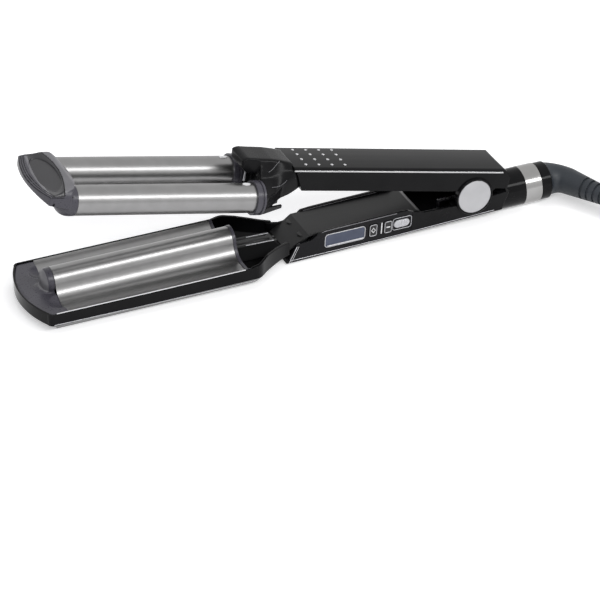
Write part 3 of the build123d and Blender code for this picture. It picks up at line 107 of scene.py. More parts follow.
def spread(tree, value, low, high):
    """The noise mapped to the range from low to high."""
    node = tree.nodes.new("ShaderNodeMapRange")
    node.inputs["From Min"].default_value = NOISE_LOW
    node.inputs["From Max"].default_value = NOISE_HIGH
    node.inputs["To Min"].default_value = low
    node.inputs["To Max"].default_value = high
    link(tree, value, node.inputs["Value"])
    return node.outputs["Result"]


def ramp(tree, value, dark, light):
    """The noise mapped to a colour from dark to light."""
    node = tree.nodes.new("ShaderNodeValToRGB")
    node.color_ramp.elements[0].position = NOISE_LOW
    node.color_ramp.elements[0].color = (*dark, 1)
    node.color_ramp.elements[1].position = NOISE_HIGH
    node.color_ramp.elements[1].color = (*light, 1)
    link(tree, value, node.inputs["Fac"])
    return node.outputs["Color"]


def material(name, dark, light, rough, metallic=0.0, specular=0.5, grain=900.0, stretch=EVEN, turn=0.0,
             bump=0.05, height=0.00005, edge=0.00035, patch=60.0):
    """A node material: slow patches of colour, fine grain in roughness and bump, edges rounded in the shading."""
    mat = bpy.data.materials.new(name)
    mat.use_nodes = True
    tree = mat.node_tree
    shader = tree.nodes["Principled BSDF"]
    coords = tree.nodes.new("ShaderNodeTexCoord").outputs["Object"]
    fine = noise(tree, coords, grain, 3.0, 0.6, stretch, turn)
    slow = noise(tree, coords, patch, 2.0, 0.5, EVEN, turn)
    link(tree, ramp(tree, slow, dark, light), shader.inputs["Base Color"])
    link(tree, spread(tree, fine, *rough), shader.inputs["Roughness"])
    shader.inputs["Metallic"].default_value = metallic
    shader.inputs["Specular IOR Level"].default_value = specular
    rounded = tree.nodes.new("ShaderNodeBevel")
    rounded.samples = 4
    rounded.inputs["Radius"].default_value = edge
    lift = tree.nodes.new("ShaderNodeBump")
    lift.inputs["Strength"].default_value = bump
    lift.inputs["Distance"].default_value = height
    link(tree, fine, lift.inputs["Height"])
    link(tree, rounded.outputs["Normal"], lift.inputs["Normal"])
    link(tree, lift.outputs["Normal"], shader.inputs["Normal"])
    return mat


mats = {
    "gloss_black": material("gloss_black", (0.0035, 0.0035, 0.004), (0.006, 0.006, 0.0065), (0.07, 0.11),
                            specular=0.10, bump=0.02, edge=0.0006),
    "yoke_black": material("yoke_black", (0.003, 0.003, 0.0035), (0.005, 0.005, 0.0055), (0.22, 0.28), specular=0.10,
                           bump=0.02, edge=0.0006),
    "panel_black": material("panel_black", (0.004, 0.004, 0.005), (0.006, 0.006, 0.0075), (0.07, 0.11), specular=0.13,
                            bump=0.02, edge=0.0004),
    "satin_black": material("satin_black", (0.006, 0.006, 0.0065), (0.010, 0.010, 0.011), (0.24, 0.32), specular=0.30,
                            bump=0.04),
    "tip_grey": material("tip_grey", (0.046, 0.044, 0.055), (0.056, 0.054, 0.066), (0.26, 0.32), specular=0.32,
                         bump=0.03, height=0.00003, edge=0.0005),
    "pad_dark": material("pad_dark", (0.016, 0.0155, 0.018), (0.024, 0.0235, 0.027), (0.20, 0.26), specular=0.4,
                         bump=0.12, height=0.00004, edge=0.0005),
    "steel": material("steel", (0.245, 0.243, 0.243), (0.270, 0.268, 0.268), (0.31, 0.325), metallic=1.0,
                      grain=1200.0, stretch=LONG, bump=0.0, patch=120.0, edge=0.00002),
    "steel_up": material("steel_up", (0.245, 0.243, 0.243), (0.270, 0.268, 0.268), (0.31, 0.325), metallic=1.0,
                         grain=1200.0, stretch=LONG, turn=-OPEN, bump=0.0, patch=120.0, edge=0.00002),
    "chrome": material("chrome", (0.42, 0.42, 0.425), (0.48, 0.48, 0.485), (0.08, 0.15), metallic=1.0, bump=0.02),
    "ring": material("ring", (0.29, 0.287, 0.283), (0.34, 0.337, 0.333), (0.16, 0.22), metallic=1.0, grain=1500,
                     bump=0.03),
    "disc": material("disc", (0.40, 0.40, 0.41), (0.46, 0.46, 0.47), (0.45, 0.55), metallic=0.6, grain=3000,
                     bump=0.15),
    "stud": material("stud", (0.55, 0.55, 0.56), (0.62, 0.62, 0.63), (0.22, 0.30), metallic=0.5, bump=0.03),
    "rubber": material("rubber", (0.012, 0.015, 0.019), (0.020, 0.024, 0.030), (0.42, 0.58), specular=0.4, bump=0.25,
                       height=0.00008),
    "cable": material("cable", (0.010, 0.010, 0.011), (0.018, 0.018, 0.020), (0.40, 0.52), bump=0.15, height=0.00008),
    "lens": material("lens", (0.040, 0.050, 0.085), (0.055, 0.066, 0.105), (0.08, 0.12), specular=0.4, bump=0.01,
                     patch=90.0),
    "key": material("key", (0.008, 0.008, 0.009), (0.013, 0.013, 0.014), (0.16, 0.24), specular=0.35, bump=0.05),
    "silver_key": material("silver_key", (0.44, 0.44, 0.46), (0.50, 0.50, 0.52), (0.24, 0.34), metallic=0.6,
                           bump=0.05),
    # white for the keys' printed marks and the bar between the keys, and for painted highlights: lines along the
    # panel's front edge and the tray's rim, and the bright reflection on the barrels' rivets
    "white_print_and_highlight": material("white_print_and_highlight", (0.66, 0.66, 0.67), (0.74, 0.74, 0.75), (0.35, 0.45), bump=0.05,
                           edge=0.0001),
    # light grey for the frames round the display and the keys and for the yoke's strut, and for painted highlight
    # lines: the display's sill, the lower edges of the panel and the tray, and the bridge's ribs
    "grey_frame_and_highlight": material("grey_frame_and_highlight", (0.40, 0.40, 0.42), (0.48, 0.48, 0.50), (0.25, 0.35), metallic=0.5,
                           bump=0.03, edge=0.0001),
    # a lighter grey used only for painted highlights: the paddle's crest and ridge, the lower tip's ridge end, and
    # thin lines on the panel, cover and yoke
    "painted_highlight_grey": material("painted_highlight_grey", (0.115, 0.113, 0.123), (0.150, 0.148, 0.158), (0.30, 0.40), specular=0.45,
                          bump=0.08, height=0.00004, edge=0.0004),
    "cover": material("cover", (0.011, 0.011, 0.0115), (0.016, 0.016, 0.0165), (0.34, 0.36), specular=0.2, bump=0.0,
                      patch=20.0, edge=0.0006),
    # near black for the cool tip's seam, and for painted shade in the paddle's grooves and in place of the tip's hole
    "seam_and_painted_shade": material("seam_and_painted_shade", (0.0025, 0.0025, 0.003), (0.004, 0.004, 0.0045), (0.40, 0.50), specular=0.15),
    "spring": material("spring", (0.20, 0.20, 0.21), (0.30, 0.30, 0.31), (0.24, 0.34), metallic=1.0, bump=0.1),
    "board": material("board", (0.010, 0.06, 0.02), (0.016, 0.09, 0.03), (0.35, 0.45), bump=0.1),
    "ceramic": material("ceramic", (0.70, 0.68, 0.62), (0.78, 0.76, 0.70), (0.45, 0.60), bump=0.15),
    "alloy": material("alloy", (0.50, 0.50, 0.51), (0.58, 0.58, 0.59), (0.32, 0.42), metallic=1.0, bump=0.1),
    "brass": material("brass", (0.62, 0.44, 0.17), (0.70, 0.52, 0.22), (0.20, 0.30), metallic=1.0, bump=0.05),
}
LOOKS = {
    "bottom_casing": "gloss_black", "side_panel": "panel_black", "display_lens": "lens", "display_module": "lens",
    "control_board": "board", "tact_switches": "key", "mode_button": "key", "minus_button": "key",
    "power_button": "silver_key", "heating_plate": "steel", "plate_end_frame": "tip_grey", "lower_tip": "tip_grey",
    "root_bridge": "satin_black", "heat_spreader": "alloy", "plate_heater": "ceramic", "thermal_fuse": "ceramic",
    "heater_clamp": "spring", "heater_leads": "cable", "inner_cover": "cover", "casing_screws": "spring",
    "opening_spring": "spring", "tail_collar": "gloss_black", "silver_ring": "ring", "brush_block": "key",
    "slip_rings": "brass", "swivel_head": "gloss_black", "swivel_clip": "spring", "cord_boot": "rubber",
    "cord": "cable", "cord_coil": "cable", "plug": "cable", "plug_pins": "chrome", "upper_shell": "gloss_black",
    "upper_base_shell": "gloss_black", "trim_far": "chrome", "trim_near": "chrome", "grip_studs": "stud",
    "yoke": "gloss_black", "yoke_brace": "satin_black", "barrel_near": "steel_up", "barrel_far": "steel_up",
    "barrel_collar_near": "tip_grey", "barrel_collar_far": "tip_grey", "heat_core_near": "alloy",
    "heat_core_far": "alloy", "barrel_heater_near": "ceramic", "barrel_heater_far": "ceramic",
    "barrel_rivets": "white_print_and_highlight", "cool_tip": "tip_grey", "thumb_pad": "pad_dark", "hinge_pin": "spring",
    "pivot_cap_near": "disc", "pivot_cap_far": "disc",
}
for name, obj in nodes.items():
    obj.data.materials.clear()
    obj.data.materials.append(mats[LOOKS[name]])


# ---- mains cord: boot, floor, coil, plug -----------------------------------------------------------------
CORD_R = 0.0035
CORD_SLACK = 0.00005        # how much thinner than its solid the cord is drawn
FLOOR_GAP = 0.0001
COIL_CENTRE = Vector((0.25624371, -0.03973210))
COIL_WIDE, COIL_NARROW = 0.042, 0.035
COIL_TURNS = 10             # two side by side in each of five layers
COIL_POINTS = 18            # points of a turn
COIL_STEP = 3               # points of a turn used to move on to the next one
COIL_RISE = 6               # points that lift the end to the plug's nose
PLUG_OFF = 0.028            # from the coil's middle to the cord's end, along X
PLUG_RUN = 0.008            # spacing of the last points, which lead into the plug
ROUTE = [
    (0.204619, -0.046148, 0.013229), (0.218177, -0.075226, 0.012000), (0.246310, -0.090823, 0.007000),
    (0.277815, -0.085998, 0.003600), (0.297391, -0.062543, 0.003600), (0.298427, -0.034555, 0.003600),
]


def coil_points():
    """Turns that go in and out by one place and up by one layer, then the end that rises to the plug."""
    grow = 2 / (1 + math.cos(math.pi / COIL_POINTS))
    entry = math.atan2(ROUTE[-1][1] - COIL_CENTRE.y, ROUTE[-1][0] - COIL_CENTRE.x)
    radii = [COIL_WIDE if turn % 4 in (0, 3) else COIL_NARROW for turn in range(COIL_TURNS)]
    layers = [turn // 2 for turn in range(COIL_TURNS)]
    total = COIL_TURNS * COIL_POINTS - 2
    points = []
    for k in range(1, total + 1):
        turn, place = divmod(k, COIL_POINTS)
        ease = max(0.0, (place - (COIL_POINTS - COIL_STEP)) / COIL_STEP)
        after = min(turn + 1, COIL_TURNS - 1)
        radius = radii[turn] + (radii[after] - radii[turn]) * ease
        layer = layers[turn] + (layers[after] - layers[turn]) * ease
        lift = max(0.0, (k - total + COIL_RISE) / COIL_RISE)
        radius = (radius + (PLUG_OFF - radius) * lift) * grow
        angle = entry + 2 * math.pi * k / COIL_POINTS
        height = CORD_R + FLOOR_GAP + 2 * CORD_R * (layer + lift)
        points.append((COIL_CENTRE.x + radius * math.cos(angle), COIL_CENTRE.y + radius * math.sin(angle), height))
    return points


def round_curve(name, places, radius, mat, sides, smooth=True, closed=False):
    """A round line of this radius through the places, smooth or made of straight runs."""
    curve = bpy.data.curves.new(name, "CURVE")
    curve.dimensions = "3D"
    curve.bevel_depth = radius
    curve.bevel_resolution = sides
    curve.resolution_u = 6
    curve.use_fill_caps = True
    spline = curve.splines.new("NURBS" if smooth else "POLY")
    spline.points.add(len(places) - 1)
    for point, place in zip(spline.points, places):
        point.co = (*place, 1)
    if smooth:
        spline.order_u = 3
        spline.use_endpoint_u = not closed
    spline.use_cyclic_u = closed
    curve.materials.append(mats[mat])
    obj = bpy.data.objects.new(name, curve)
    scene.collection.objects.link(obj)
    return obj


def mains_cord():
    turns = coil_points()
    end = [(COIL_CENTRE.x + PLUG_OFF, COIL_CENTRE.y + step, turns[-1][2]) for step in (-PLUG_RUN, 0.0, PLUG_RUN)]
    flex = round_curve("mains_cord", ROUTE + turns + end, CORD_R - CORD_SLACK, "cable", sides=6)
    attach(flex, "cord_swivel")
    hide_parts("cord", "cord_coil")


mains_cord()


# ---- moulded pieces: the CAD solids with their edges melted into each other ------------------------------

def local(matrix, vertices):
    """Vertex places in an arm's own frame, in millimetres."""
    back = np.array(matrix.inverted(), float)
    return vertices @ back[:3, :3].T + back[:3, 3]


def softened(node, body, looks, voxel, rounds, shape=None, matrix=LOWER, extra=(), paint=None, fill=None):
    """The node's mesh, remeshed and smoothed, so that its edges are round. The meshes of the extra nodes join it, and
    fill adds to it. Shape moves its points, in millimetres in the arm's frame, and paint picks one of the looks for
    each face by its middle."""
    mesh = nodes[node].data.copy()
    joined = bmesh.new()
    joined.from_mesh(mesh)
    for other in extra:
        joined.from_mesh(nodes[other].data)
    if fill:
        fill(joined, matrix)
    joined.to_mesh(mesh)
    joined.free()
    obj = bpy.data.objects.new(node + "_soft", mesh)
    scene.collection.objects.link(obj)
    remesh = obj.modifiers.new("remesh", "REMESH")
    remesh.mode = "VOXEL"
    remesh.voxel_size = voxel * MM
    melt = obj.modifiers.new("melt", "SMOOTH")
    melt.factor = 0.5
    melt.iterations = rounds
    made = bpy.data.meshes.new_from_object(obj.evaluated_get(bpy.context.evaluated_depsgraph_get()))
    obj.modifiers.clear()
    obj.data = made
    if shape:
        places = np.empty(len(made.vertices) * 3)
        made.vertices.foreach_get("co", places)
        places = shape(local(matrix, places.reshape(-1, 3)))
        ahead = np.array(matrix, float)
        made.vertices.foreach_set("co", (places @ ahead[:3, :3].T + ahead[:3, 3]).ravel())
    made.polygons.foreach_set("use_smooth", [True] * len(made.polygons))
    made.materials.clear()
    for look in looks:
        made.materials.append(mats[look])
    made.update()
    if paint:
        middles = np.empty(len(made.polygons) * 3)
        made.polygons.foreach_get("center", middles)
        kinds = paint(local(matrix, middles.reshape(-1, 3)))
        made.polygons.foreach_set("material_index", kinds.astype(np.int32))
    made.update()
    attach(obj, body)
    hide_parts(node, *extra)
    return obj


def bump_at(value, centre, half):
    """A smooth hill of height 1 round the centre."""
    return np.clip(1 - ((value - centre) / half) ** 2, 0, 1) ** 2


FACE_MIDDLE = (-281.28, 11.16)          # middle of the paddle's sloping face, x and z
FACE_RUN, FACE_RISE = 0.9464, 0.3231    # its slope


def on_paddle(p):
    """Distance up the paddle's face and height over it."""
    dx, dz = p[:, 0] - FACE_MIDDLE[0], p[:, 2] - FACE_MIDDLE[1]
    return dx * FACE_RUN + dz * FACE_RISE, dz * FACE_RUN - dx * FACE_RISE


def ridge_line(y):
    """The ridge in front of the dish, which gets a painted highlight."""
    return -6.4 + 3.0 * np.clip(np.abs(y + 8) / 30, 0, 1) ** 2


def crest_line(y):
    """The groove between the dish and the crest."""
    return 8.0 - 6.5 * np.clip(np.abs(y - 4) / 32, 0, 1) ** 2


def lip_line(y):
    """The lip at the paddle's front edge."""
    return -12.5 + 5.0 * (y / 27.0) ** 2


LIP_GROOVES = (1.2, 2.5, 3.8)           # three grooves, measured up the face from the lip's line
DISH_DEPTH = 1.9
GROOVE_DEPTH = 0.30
CREST_DEPTH = 0.35
PRESSED_HALF = 27.5         # half the width of the part of the face that is pressed
DISH_HALF = 26.5            # half the width of the dish
PAINTED_HALF = 26.6         # half the width of the painted part, and its rear end
PAINTED_REAR = -266
RIDGE_HIGHLIGHT_HALF = 24             # half the width of the ridge's painted highlight


def shape_paddle(p):
    """The dish between the ridge and the crest, and the grooves of the lip, pressed into the face."""
    along, over = on_paddle(p)
    y = p[:, 1]
    low, high = ridge_line(y), crest_line(y)
    t = np.clip((along - low) / (high - low), 0, 1)
    top = np.clip((over + 1.5) / 0.9, 0, 1) * (np.abs(y) < PRESSED_HALF)
    ends = np.clip(1 - (y / DISH_HALF) ** 4, 0, 1)
    drop = DISH_DEPTH * np.sin(np.pi * t) ** 1.3 * ends
    for offset in LIP_GROOVES:
        drop += GROOVE_DEPTH * bump_at(along, lip_line(y) + offset, 0.45) * ends
    drop += CREST_DEPTH * bump_at(along, high + 0.2, 0.6) * ends
    move = drop * top
    p[:, 0] += move * FACE_RISE
    p[:, 2] -= move * FACE_RUN
    return p


def paint_paddle(p):
    """Material numbers: 0 grey, 1 dark dish, 2 painted highlight on the crest and the ridge, 3 painted shade in the
    grooves.
    """
    along, over = on_paddle(p)
    y = p[:, 1]
    low, high = ridge_line(y), crest_line(y)
    top = (over > -2.6) & (np.abs(y) < PAINTED_HALF) & (p[:, 0] < PAINTED_REAR)
    kind = np.zeros(len(p), int)
    kind[top & (along > low + 0.5) & (along < high)] = 1
    # painted highlight on the ridge and on the crest
    kind[top & (np.abs(along - low) < 0.75) & (np.abs(y) < RIDGE_HIGHLIGHT_HALF)] = 2
    kind[top & (over > -1.2) & (along > high + 0.5)] = 2
    # painted shade in the groove before the crest and in the lip's grooves
    kind[top & (np.abs(along - high - 0.15) < 0.35)] = 3
    for offset in LIP_GROOVES:
        kind[top & (over > -1.2) & (np.abs(along - lip_line(y) - offset) < 0.25)] = 3
    return kind


RIDGE_BALL = (-275.9, 0.0, -0.2)        # middle of the round end of the plate's ridge
RIDGE_R = 7.9
RIDGE_REAR = -272.0
PRESS_FROM, PRESS_SHARE = -272.5, 0.50  # where the round end is pressed back from, and by what share
# bounds of the lens-shaped painted highlight on the flat of the ridge's end
HIGHLIGHT_FRONT, HIGHLIGHT_LOW, HIGHLIGHT_HALF = -275.6, -3.6, 7.6


def fill_ridge_end(mesh, matrix):
    """A whole round end for the ridge, in place of the hollowed one."""
    ball = matrix @ Matrix.Translation(RIDGE_BALL)
    bmesh.ops.create_icosphere(mesh, subdivisions=5, radius=RIDGE_R, matrix=ball)
    middle = (RIDGE_BALL[0] + RIDGE_REAR) / 2
    rod = matrix @ Matrix.Translation((middle, 0.0, RIDGE_BALL[2])) @ Matrix.Rotation(math.pi / 2, 4, "Y")
    bmesh.ops.create_cone(mesh, cap_ends=True, segments=96, radius1=RIDGE_R, radius2=RIDGE_R,
                          depth=RIDGE_REAR - RIDGE_BALL[0], matrix=rod)


def shape_lower_tip(p):
    """The ridge's round end, pressed back by half towards the plate."""
    lift = np.clip((p[:, 2] + 5.0) / 2.0, 0, 1) * np.clip((10.5 - np.abs(p[:, 1])) / 2.0, 0, 1)
    front = np.minimum(p[:, 0] - PRESS_FROM, 0)
    p[:, 0] -= front * PRESS_SHARE * lift
    return p


def paint_lower_tip(p):
    """A painted highlight on the flat of the ridge's end, in the shape of a lens."""
    lens = (p[:, 0] < HIGHLIGHT_FRONT) & (p[:, 2] > HIGHLIGHT_LOW) & (np.abs(p[:, 1]) < HIGHLIGHT_HALF)
    return lens.astype(int)


softened("cool_tip", "upper_arm", ["tip_grey", "pad_dark", "painted_highlight_grey", "seam_and_painted_shade"], voxel=0.32, rounds=8,
         shape=shape_paddle, matrix=UPPER, extra=("thumb_pad",), paint=paint_paddle)
softened("yoke", "upper_arm", ["yoke_black"], voxel=0.45, rounds=45, matrix=UPPER)
softened("lower_tip", "lower_arm", ["tip_grey", "painted_highlight_grey"], voxel=0.38, rounds=8, shape=shape_lower_tip,
         paint=paint_lower_tip, fill=fill_ridge_end)
softened("root_bridge", "lower_arm", ["cover"], voxel=0.40, rounds=4)


# ---- thin trim, frames, marks, and lines of painted highlight and painted shade --------------------------
def skin(node):
    """A search tree of the node's faces."""
    mesh = nodes[node].data
    return BVHTree.FromPolygons([v.co for v in mesh.vertices], [p.vertices for p in mesh.polygons])


def seen(names, spots):
    """Places on these nodes' skins that the camera sees at these places of its picture."""
    cam = scene.camera
    turn = cam.matrix_world.to_3x3()
    reach = CAMERA_LENS / SENSOR_WIDTH * PICTURE
    half = PICTURE / 2
    start = cam.matrix_world.translation
    skins = [skin(name) for name in names]
    found = []
    for x, y in spots:
        ray = (turn @ Vector(((x - half) / reach, (half - y) / reach, -1.0))).normalized()
        hits = [hit for hit in (tree.ray_cast(start, ray) for tree in skins) if hit[0] is not None]
        if hits:
            found.append(min(hits, key=lambda hit: hit[3])[0])
    return found


def bead(name, body, mat, radius, points, closed=False, matrix=LOWER, smooth=True):
    """A thin raised line through points, half sunk in what carries it."""
    places = [matrix @ Vector(point) if matrix else point for point in points]
    obj = round_curve(name, places, radius * MM, mat, sides=2, smooth=smooth, closed=closed)
    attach(obj, body)


def seen_beads(lines):
    """Beads along lines that the camera sees on their carriers' skins."""
    for name, body, mat, radius, carriers, spots in lines:
        bead(name, body, mat, radius, seen(carriers, spots), matrix=None)


PANEL_SLOPE = 0.125
PANEL_LEAN = math.atan(PANEL_SLOPE)
PANEL_FOOT_Y, PANEL_FOOT_Z = -13.1, -19.2
KEY_LINE_Z = -7.9


def panel(x, v, out=0.0):
    """A place on the side panel: along the arm, up the face from the keys' line, and out of the face."""
    c, n = math.cos(PANEL_LEAN), math.sin(PANEL_LEAN)
    y = PANEL_FOOT_Y - (KEY_LINE_Z - PANEL_FOOT_Z) * PANEL_SLOPE
    return (x, y - v * n - out * c, KEY_LINE_Z + v * c - out * n)


def rounded(x, v, wide, tall, corner, out=0.0):
    """Places round a rectangle with round corners on the panel's face."""
    places = []
    for k, (sx, sv) in enumerate(((1, 1), (-1, 1), (-1, -1), (1, -1))):
        for step in range(5):
            angle = math.pi / 2 * (k + step / 4)
            places.append(panel(x + sx * (wide / 2 - corner) + corner * math.cos(angle),
                                v + sv * (tall / 2 - corner) + corner * math.sin(angle), out))
    return places


MODE_X, MINUS_X, BAR_X = -68.25, -58.25, -62.5
# round rectangles on the panel: along the arm, up the face, width, height, corner
DISPLAY_FRAME = (-87.0, -0.25, 26.6, 9.5, 2.0)
POWER_FRAME = (-48.7, 0.4, 12.6, 8.6, 1.7)
POWER_PILL = (-49.0, 0.4, 5.0, 1.8, 0.85)
KEY_FRAME = (0.0, 4.5, 8.2, 1.1)        # the same without its place along the arm
FLUSH, PROUD = 0.02, 0.5                # how far the frames and the keys stand out of the panel


def controls():
    """Frames and generic marks of the display and the keys, and a painted highlight along the display's lower edge.
    """
    bead("display_frame", "lower_arm", "grey_frame_and_highlight", 0.32, rounded(*DISPLAY_FRAME, FLUSH), True, smooth=False)
    # painted highlight along the display's lower edge
    sill = [panel(x, -4.35, 0.05) for x in (-98.6, -90, -80, -74.6)]
    bead("display_sill_highlight", "lower_arm", "grey_frame_and_highlight", 0.50, sill)
    for name, x in (("mode", MODE_X), ("minus", MINUS_X)):
        bead(name + "_frame", name + "_button", "grey_frame_and_highlight", 0.24, rounded(x, *KEY_FRAME, PROUD), True, smooth=False)
    diamond = [panel(MODE_X + dx, dv, PROUD) for dx, dv in ((1.25, 0), (0, 1.7), (-1.25, 0), (0, -1.7))]
    bead("mode_mark", "mode_button", "white_print_and_highlight", 0.30, diamond, True, smooth=False)
    dash = [panel(MINUS_X + dx, 0, 0.45) for dx in (-1.25, 1.25)]
    bead("minus_mark", "minus_button", "white_print_and_highlight", 0.42, dash, smooth=False)
    bar = [panel(BAR_X, v) for v in (-4.0, 4.2)]
    bead("keys_bar", "lower_arm", "white_print_and_highlight", 0.42, bar, smooth=False)
    bead("power_frame", "lower_arm", "grey_frame_and_highlight", 0.22, rounded(*POWER_FRAME, FLUSH), True, smooth=False)
    bead("power_mark", "power_button", "grey_frame_and_highlight", 0.22, rounded(*POWER_PILL, PROUD), True, smooth=False)


SHELL = ("side_panel", "bottom_casing")
COVER = ("inner_cover", "bottom_casing")
CAP_RING_R, CAP_RING_Y, CAP_RING_POINTS = 11.75, -16.0, 48
# name, body, look, radius, nodes that carry it, places in the picture
# painted highlights: light lines along the side panel's front, lower and upper edges
PANEL_LINES = [
    ("panel_edge_highlight", "lower_arm", "white_print_and_highlight", 0.24, SHELL, [(289.2, 263.2), (293.2, 255), (297.2, 246.8)]),
    ("panel_edge_inner_highlight", "lower_arm", "white_print_and_highlight", 0.14, SHELL, [(291.4, 262.6), (295.2, 254.6), (299.0, 246.8)]),
    ("panel_foot_highlight", "lower_arm", "grey_frame_and_highlight", 0.24, SHELL,
     [(290.5, 260.9), (310, 256.2), (340, 249.1), (370, 241.9), (400, 234.4), (430, 226.5), (460, 218.7),
      (494, 209.9)]),
    ("panel_brow_highlight", "lower_arm", "painted_highlight_grey", 0.30, SHELL,
     [(299, 243.8), (306.5, 239.2), (318, 234.3), (325, 231.3), (340, 227.6), (370, 220.2), (397, 213.6)]),
]
# painted highlights: lines along the tray's lower edge, the bridge's ribs and the cover's far edge
LOWER_LINES = [
    ("tray_hem_highlight", "lower_arm", "grey_frame_and_highlight", 0.24, ("bottom_casing",),
     [(54.5, 325.6), (100, 315.4), (150, 304.2), (200, 293.0), (230, 286.4), (256, 280.2)]),
    ("bridge_rib_far_highlight", "lower_arm", "grey_frame_and_highlight", 0.26, ("root_bridge",),
     [(246, 237.4), (257, 235.2), (268, 233.0)]),
    ("bridge_rib_near_highlight", "lower_arm", "grey_frame_and_highlight", 0.30, ("root_bridge",),
     [(246, 245.6), (260, 242.8), (274, 240.0)]),
    ("cover_edge_highlight", "lower_arm", "painted_highlight_grey", 0.26, COVER, [(303, 210.6), (320, 206.2), (350, 198.6), (376, 192.4)]),
]
UPPER_LINES = [
    ("tip_seam", "upper_arm", "seam_and_painted_shade", 0.16, ("cool_tip",), [(50.6, 198.8), (58, 198.6), (66, 198.2), (74, 197.6)]),
    # painted shade: a dark spot in place of the tip's hole
    ("tip_hole_shade", "upper_arm", "seam_and_painted_shade", 0.95, ("cool_tip",), [(53.2, 205.0), (53.9, 205.3)]),
    # painted highlights along the rims of the yoke's scoop and cheek
    ("yoke_scoop_highlight", "upper_arm", "painted_highlight_grey", 0.17, ("yoke",),
     [(268.4, 172.5), (271.0, 170.8), (273.3, 168.6), (276.8, 164.4), (279.7, 160.9)]),
    ("yoke_cheek_highlight", "upper_arm", "painted_highlight_grey", 0.15, ("yoke",),
     [(271.9, 187.4), (276.1, 187.2), (280.4, 186.0), (283.9, 183.5), (287.0, 180.5)]),
]


def edges():
    """Thin lines of painted highlight along edges, and the small dark ones of the tip: its seam, and painted shade
    for its hole.
    """
    seen_beads(PANEL_LINES)
    # a painted highlight along the top of the tray's near rim
    rim = [(-279.5, -31.3, -3.8), (-240, -31.6, -3.8), (-200, -31.6, -3.8), (-160, -31.5, -3.8)]
    bead("tray_rim_highlight", "lower_arm", "white_print_and_highlight", 0.34, rim)
    seen_beads(LOWER_LINES)
    angles = [2 * math.pi * k / CAP_RING_POINTS for k in range(CAP_RING_POINTS)]
    ring = [(CAP_RING_R * math.cos(a), CAP_RING_Y, CAP_RING_R * math.sin(a)) for a in angles]
    bead("pivot_ring_near", "upper_arm", "gloss_black", 0.62, ring, True, smooth=False)
    seen_beads(UPPER_LINES)
    strut = [(-152.8, -1.4, 5.4), (-152.9, -1.4, 9.6), (-153.0, -1.4, 13.8)]
    bead("yoke_strut", "upper_arm", "grey_frame_and_highlight", 0.75, strut, matrix=UPPER)


RIM_TOP = [
    (-127.5, 14.4, -3.4), (-123.5, 13.9, -3.9), (-119.5, 13.7, -4.6), (-115.5, 13.9, -4.5), (-111.5, 14.3, -3.6),
    (-107.5, 14.6, -2.4), (-103.5, 14.8, -1.4),
]
RIM_WALL, RIM_DEPTH, RIM_ROUND = 1.2, 7.0, 0.5


def root_rim():
    """The far wall's top between the tray's waist and the handle, curved down over the leads' cover."""
    section = [
        (0.0, -RIM_DEPTH), (0.0, -RIM_ROUND), (-0.3, -0.1), (-0.9, -0.1), (-RIM_WALL, -RIM_ROUND),
        (-RIM_WALL, -RIM_DEPTH),
    ]
    build = bmesh.new()
    rows = [[build.verts.new(LOWER @ Vector((x, y + dy, z + dz))) for dy, dz in section] for x, y, z in RIM_TOP]
    for one, two in zip(rows, rows[1:]):
        for k, (a, b) in enumerate(zip(one, two)):
            after = (k + 1) % len(section)
            build.faces.new((a, b, two[after], one[after]))
    build.faces.new(rows[0])
    build.faces.new(list(reversed(rows[-1])))
    bmesh.ops.recalc_face_normals(build, faces=build.faces)
    for face in build.faces:
        face.smooth = len(face.verts) == 4
    mesh = bpy.data.meshes.new("root_rim")
    build.to_mesh(mesh)
    build.free()
    mesh.materials.append(mats["gloss_black"])
    obj = bpy.data.objects.new("root_rim", mesh)
    scene.collection.objects.link(obj)
    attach(obj, "lower_arm")


controls()
edges()
root_rim()


# ---- studio ----------------------------------------------------------------------------------------------
WHITE = (1, 1, 1, 1)
FILL_LEVEL = (0.38, 0.38, 0.39, 1)      # what the world gives to soft light
FLOOR_COLOUR = (0.86, 0.86, 0.865, 1)
FLOOR_GLOW = 0.40                       # what lifts the floor to white where white is seen
FLOOR_HALF, FLOOR_DROP = 6.0, 0.0002


def sees_white(tree):
    """1 for rays of the camera, of gloss and of transmission."""
    path = tree.nodes.new("ShaderNodeLightPath")
    value = path.outputs["Is Camera Ray"]
    for kind in ("Is Glossy Ray", "Is Transmission Ray"):
        either = tree.nodes.new("ShaderNodeMath")
        either.operation = "MAXIMUM"
        link(tree, value, either.inputs[0])
        link(tree, path.outputs[kind], either.inputs[1])
        value = either.outputs["Value"]
    return value


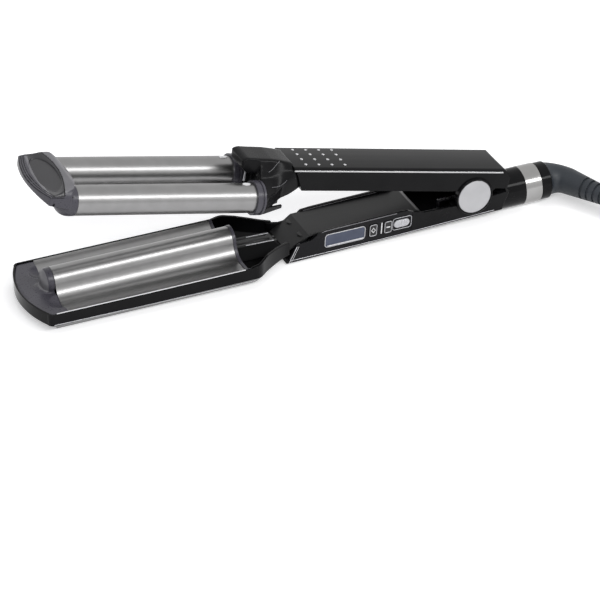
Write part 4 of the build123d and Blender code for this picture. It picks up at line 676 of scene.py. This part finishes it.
def white_world():
    """White for the camera, gloss and glass, and a plain level for the rest."""
    world = bpy.data.worlds.new("studio")
    scene.world = world
    world.use_nodes = True
    tree = world.node_tree
    mix = tree.nodes.new("ShaderNodeMix")
    mix.data_type = "RGBA"
    mix.inputs["A"].default_value = FILL_LEVEL
    mix.inputs["B"].default_value = WHITE
    link(tree, sees_white(tree), mix.inputs["Factor"])
    link(tree, mix.outputs["Result"], tree.nodes["Background"].inputs["Color"])
    tree.nodes["Background"].inputs["Strength"].default_value = 1.0


def white_floor():
    """A pale floor that keeps the object's shadow."""
    mesh = bpy.data.meshes.new("floor")
    corners = [(x * FLOOR_HALF, y * FLOOR_HALF, 0) for x, y in ((-1, -1), (1, -1), (1, 1), (-1, 1))]
    mesh.from_pydata(corners, [], [(0, 1, 2, 3)])
    floor = bpy.data.objects.new("floor", mesh)
    scene.collection.objects.link(floor)
    floor.location.z = -FLOOR_DROP
    mat = bpy.data.materials.new("floor_white")
    mat.use_nodes = True
    tree = mat.node_tree
    shader = tree.nodes["Principled BSDF"]
    shader.inputs["Base Color"].default_value = FLOOR_COLOUR
    shader.inputs["Roughness"].default_value = 0.6
    shader.inputs["Specular IOR Level"].default_value = 0.0
    glow = tree.nodes.new("ShaderNodeMath")
    glow.operation = "MULTIPLY"
    glow.inputs[1].default_value = FLOOR_GLOW
    link(tree, sees_white(tree), glow.inputs[0])
    shader.inputs["Emission Color"].default_value = WHITE
    link(tree, glow.outputs["Value"], shader.inputs["Emission Strength"])
    mesh.materials.append(mat)


def lamp(name, place, target, size, power, in_gloss):
    """A rectangular soft lamp; in_gloss says whether gloss mirrors it."""
    data = bpy.data.lights.new(name, "AREA")
    data.shape = "RECTANGLE"
    data.size, data.size_y = size
    data.energy = power
    obj = bpy.data.objects.new(name, data)
    scene.collection.objects.link(obj)
    obj.location = place
    obj.rotation_euler = (Vector(target) - Vector(place)).to_track_quat("-Z", "Y").to_euler()
    obj.visible_glossy = in_gloss


white_world()
white_floor()
lamp("key", place=(0.5, -1.15, 1.08), target=(0.5, 0.0, 0.0), size=(3.2, 0.34), power=28, in_gloss=True)
lamp("top", place=(0.2, 0.3, 1.5), target=(0.0, 0.0, 0.0), size=(1.2, 0.9), power=7, in_gloss=False)
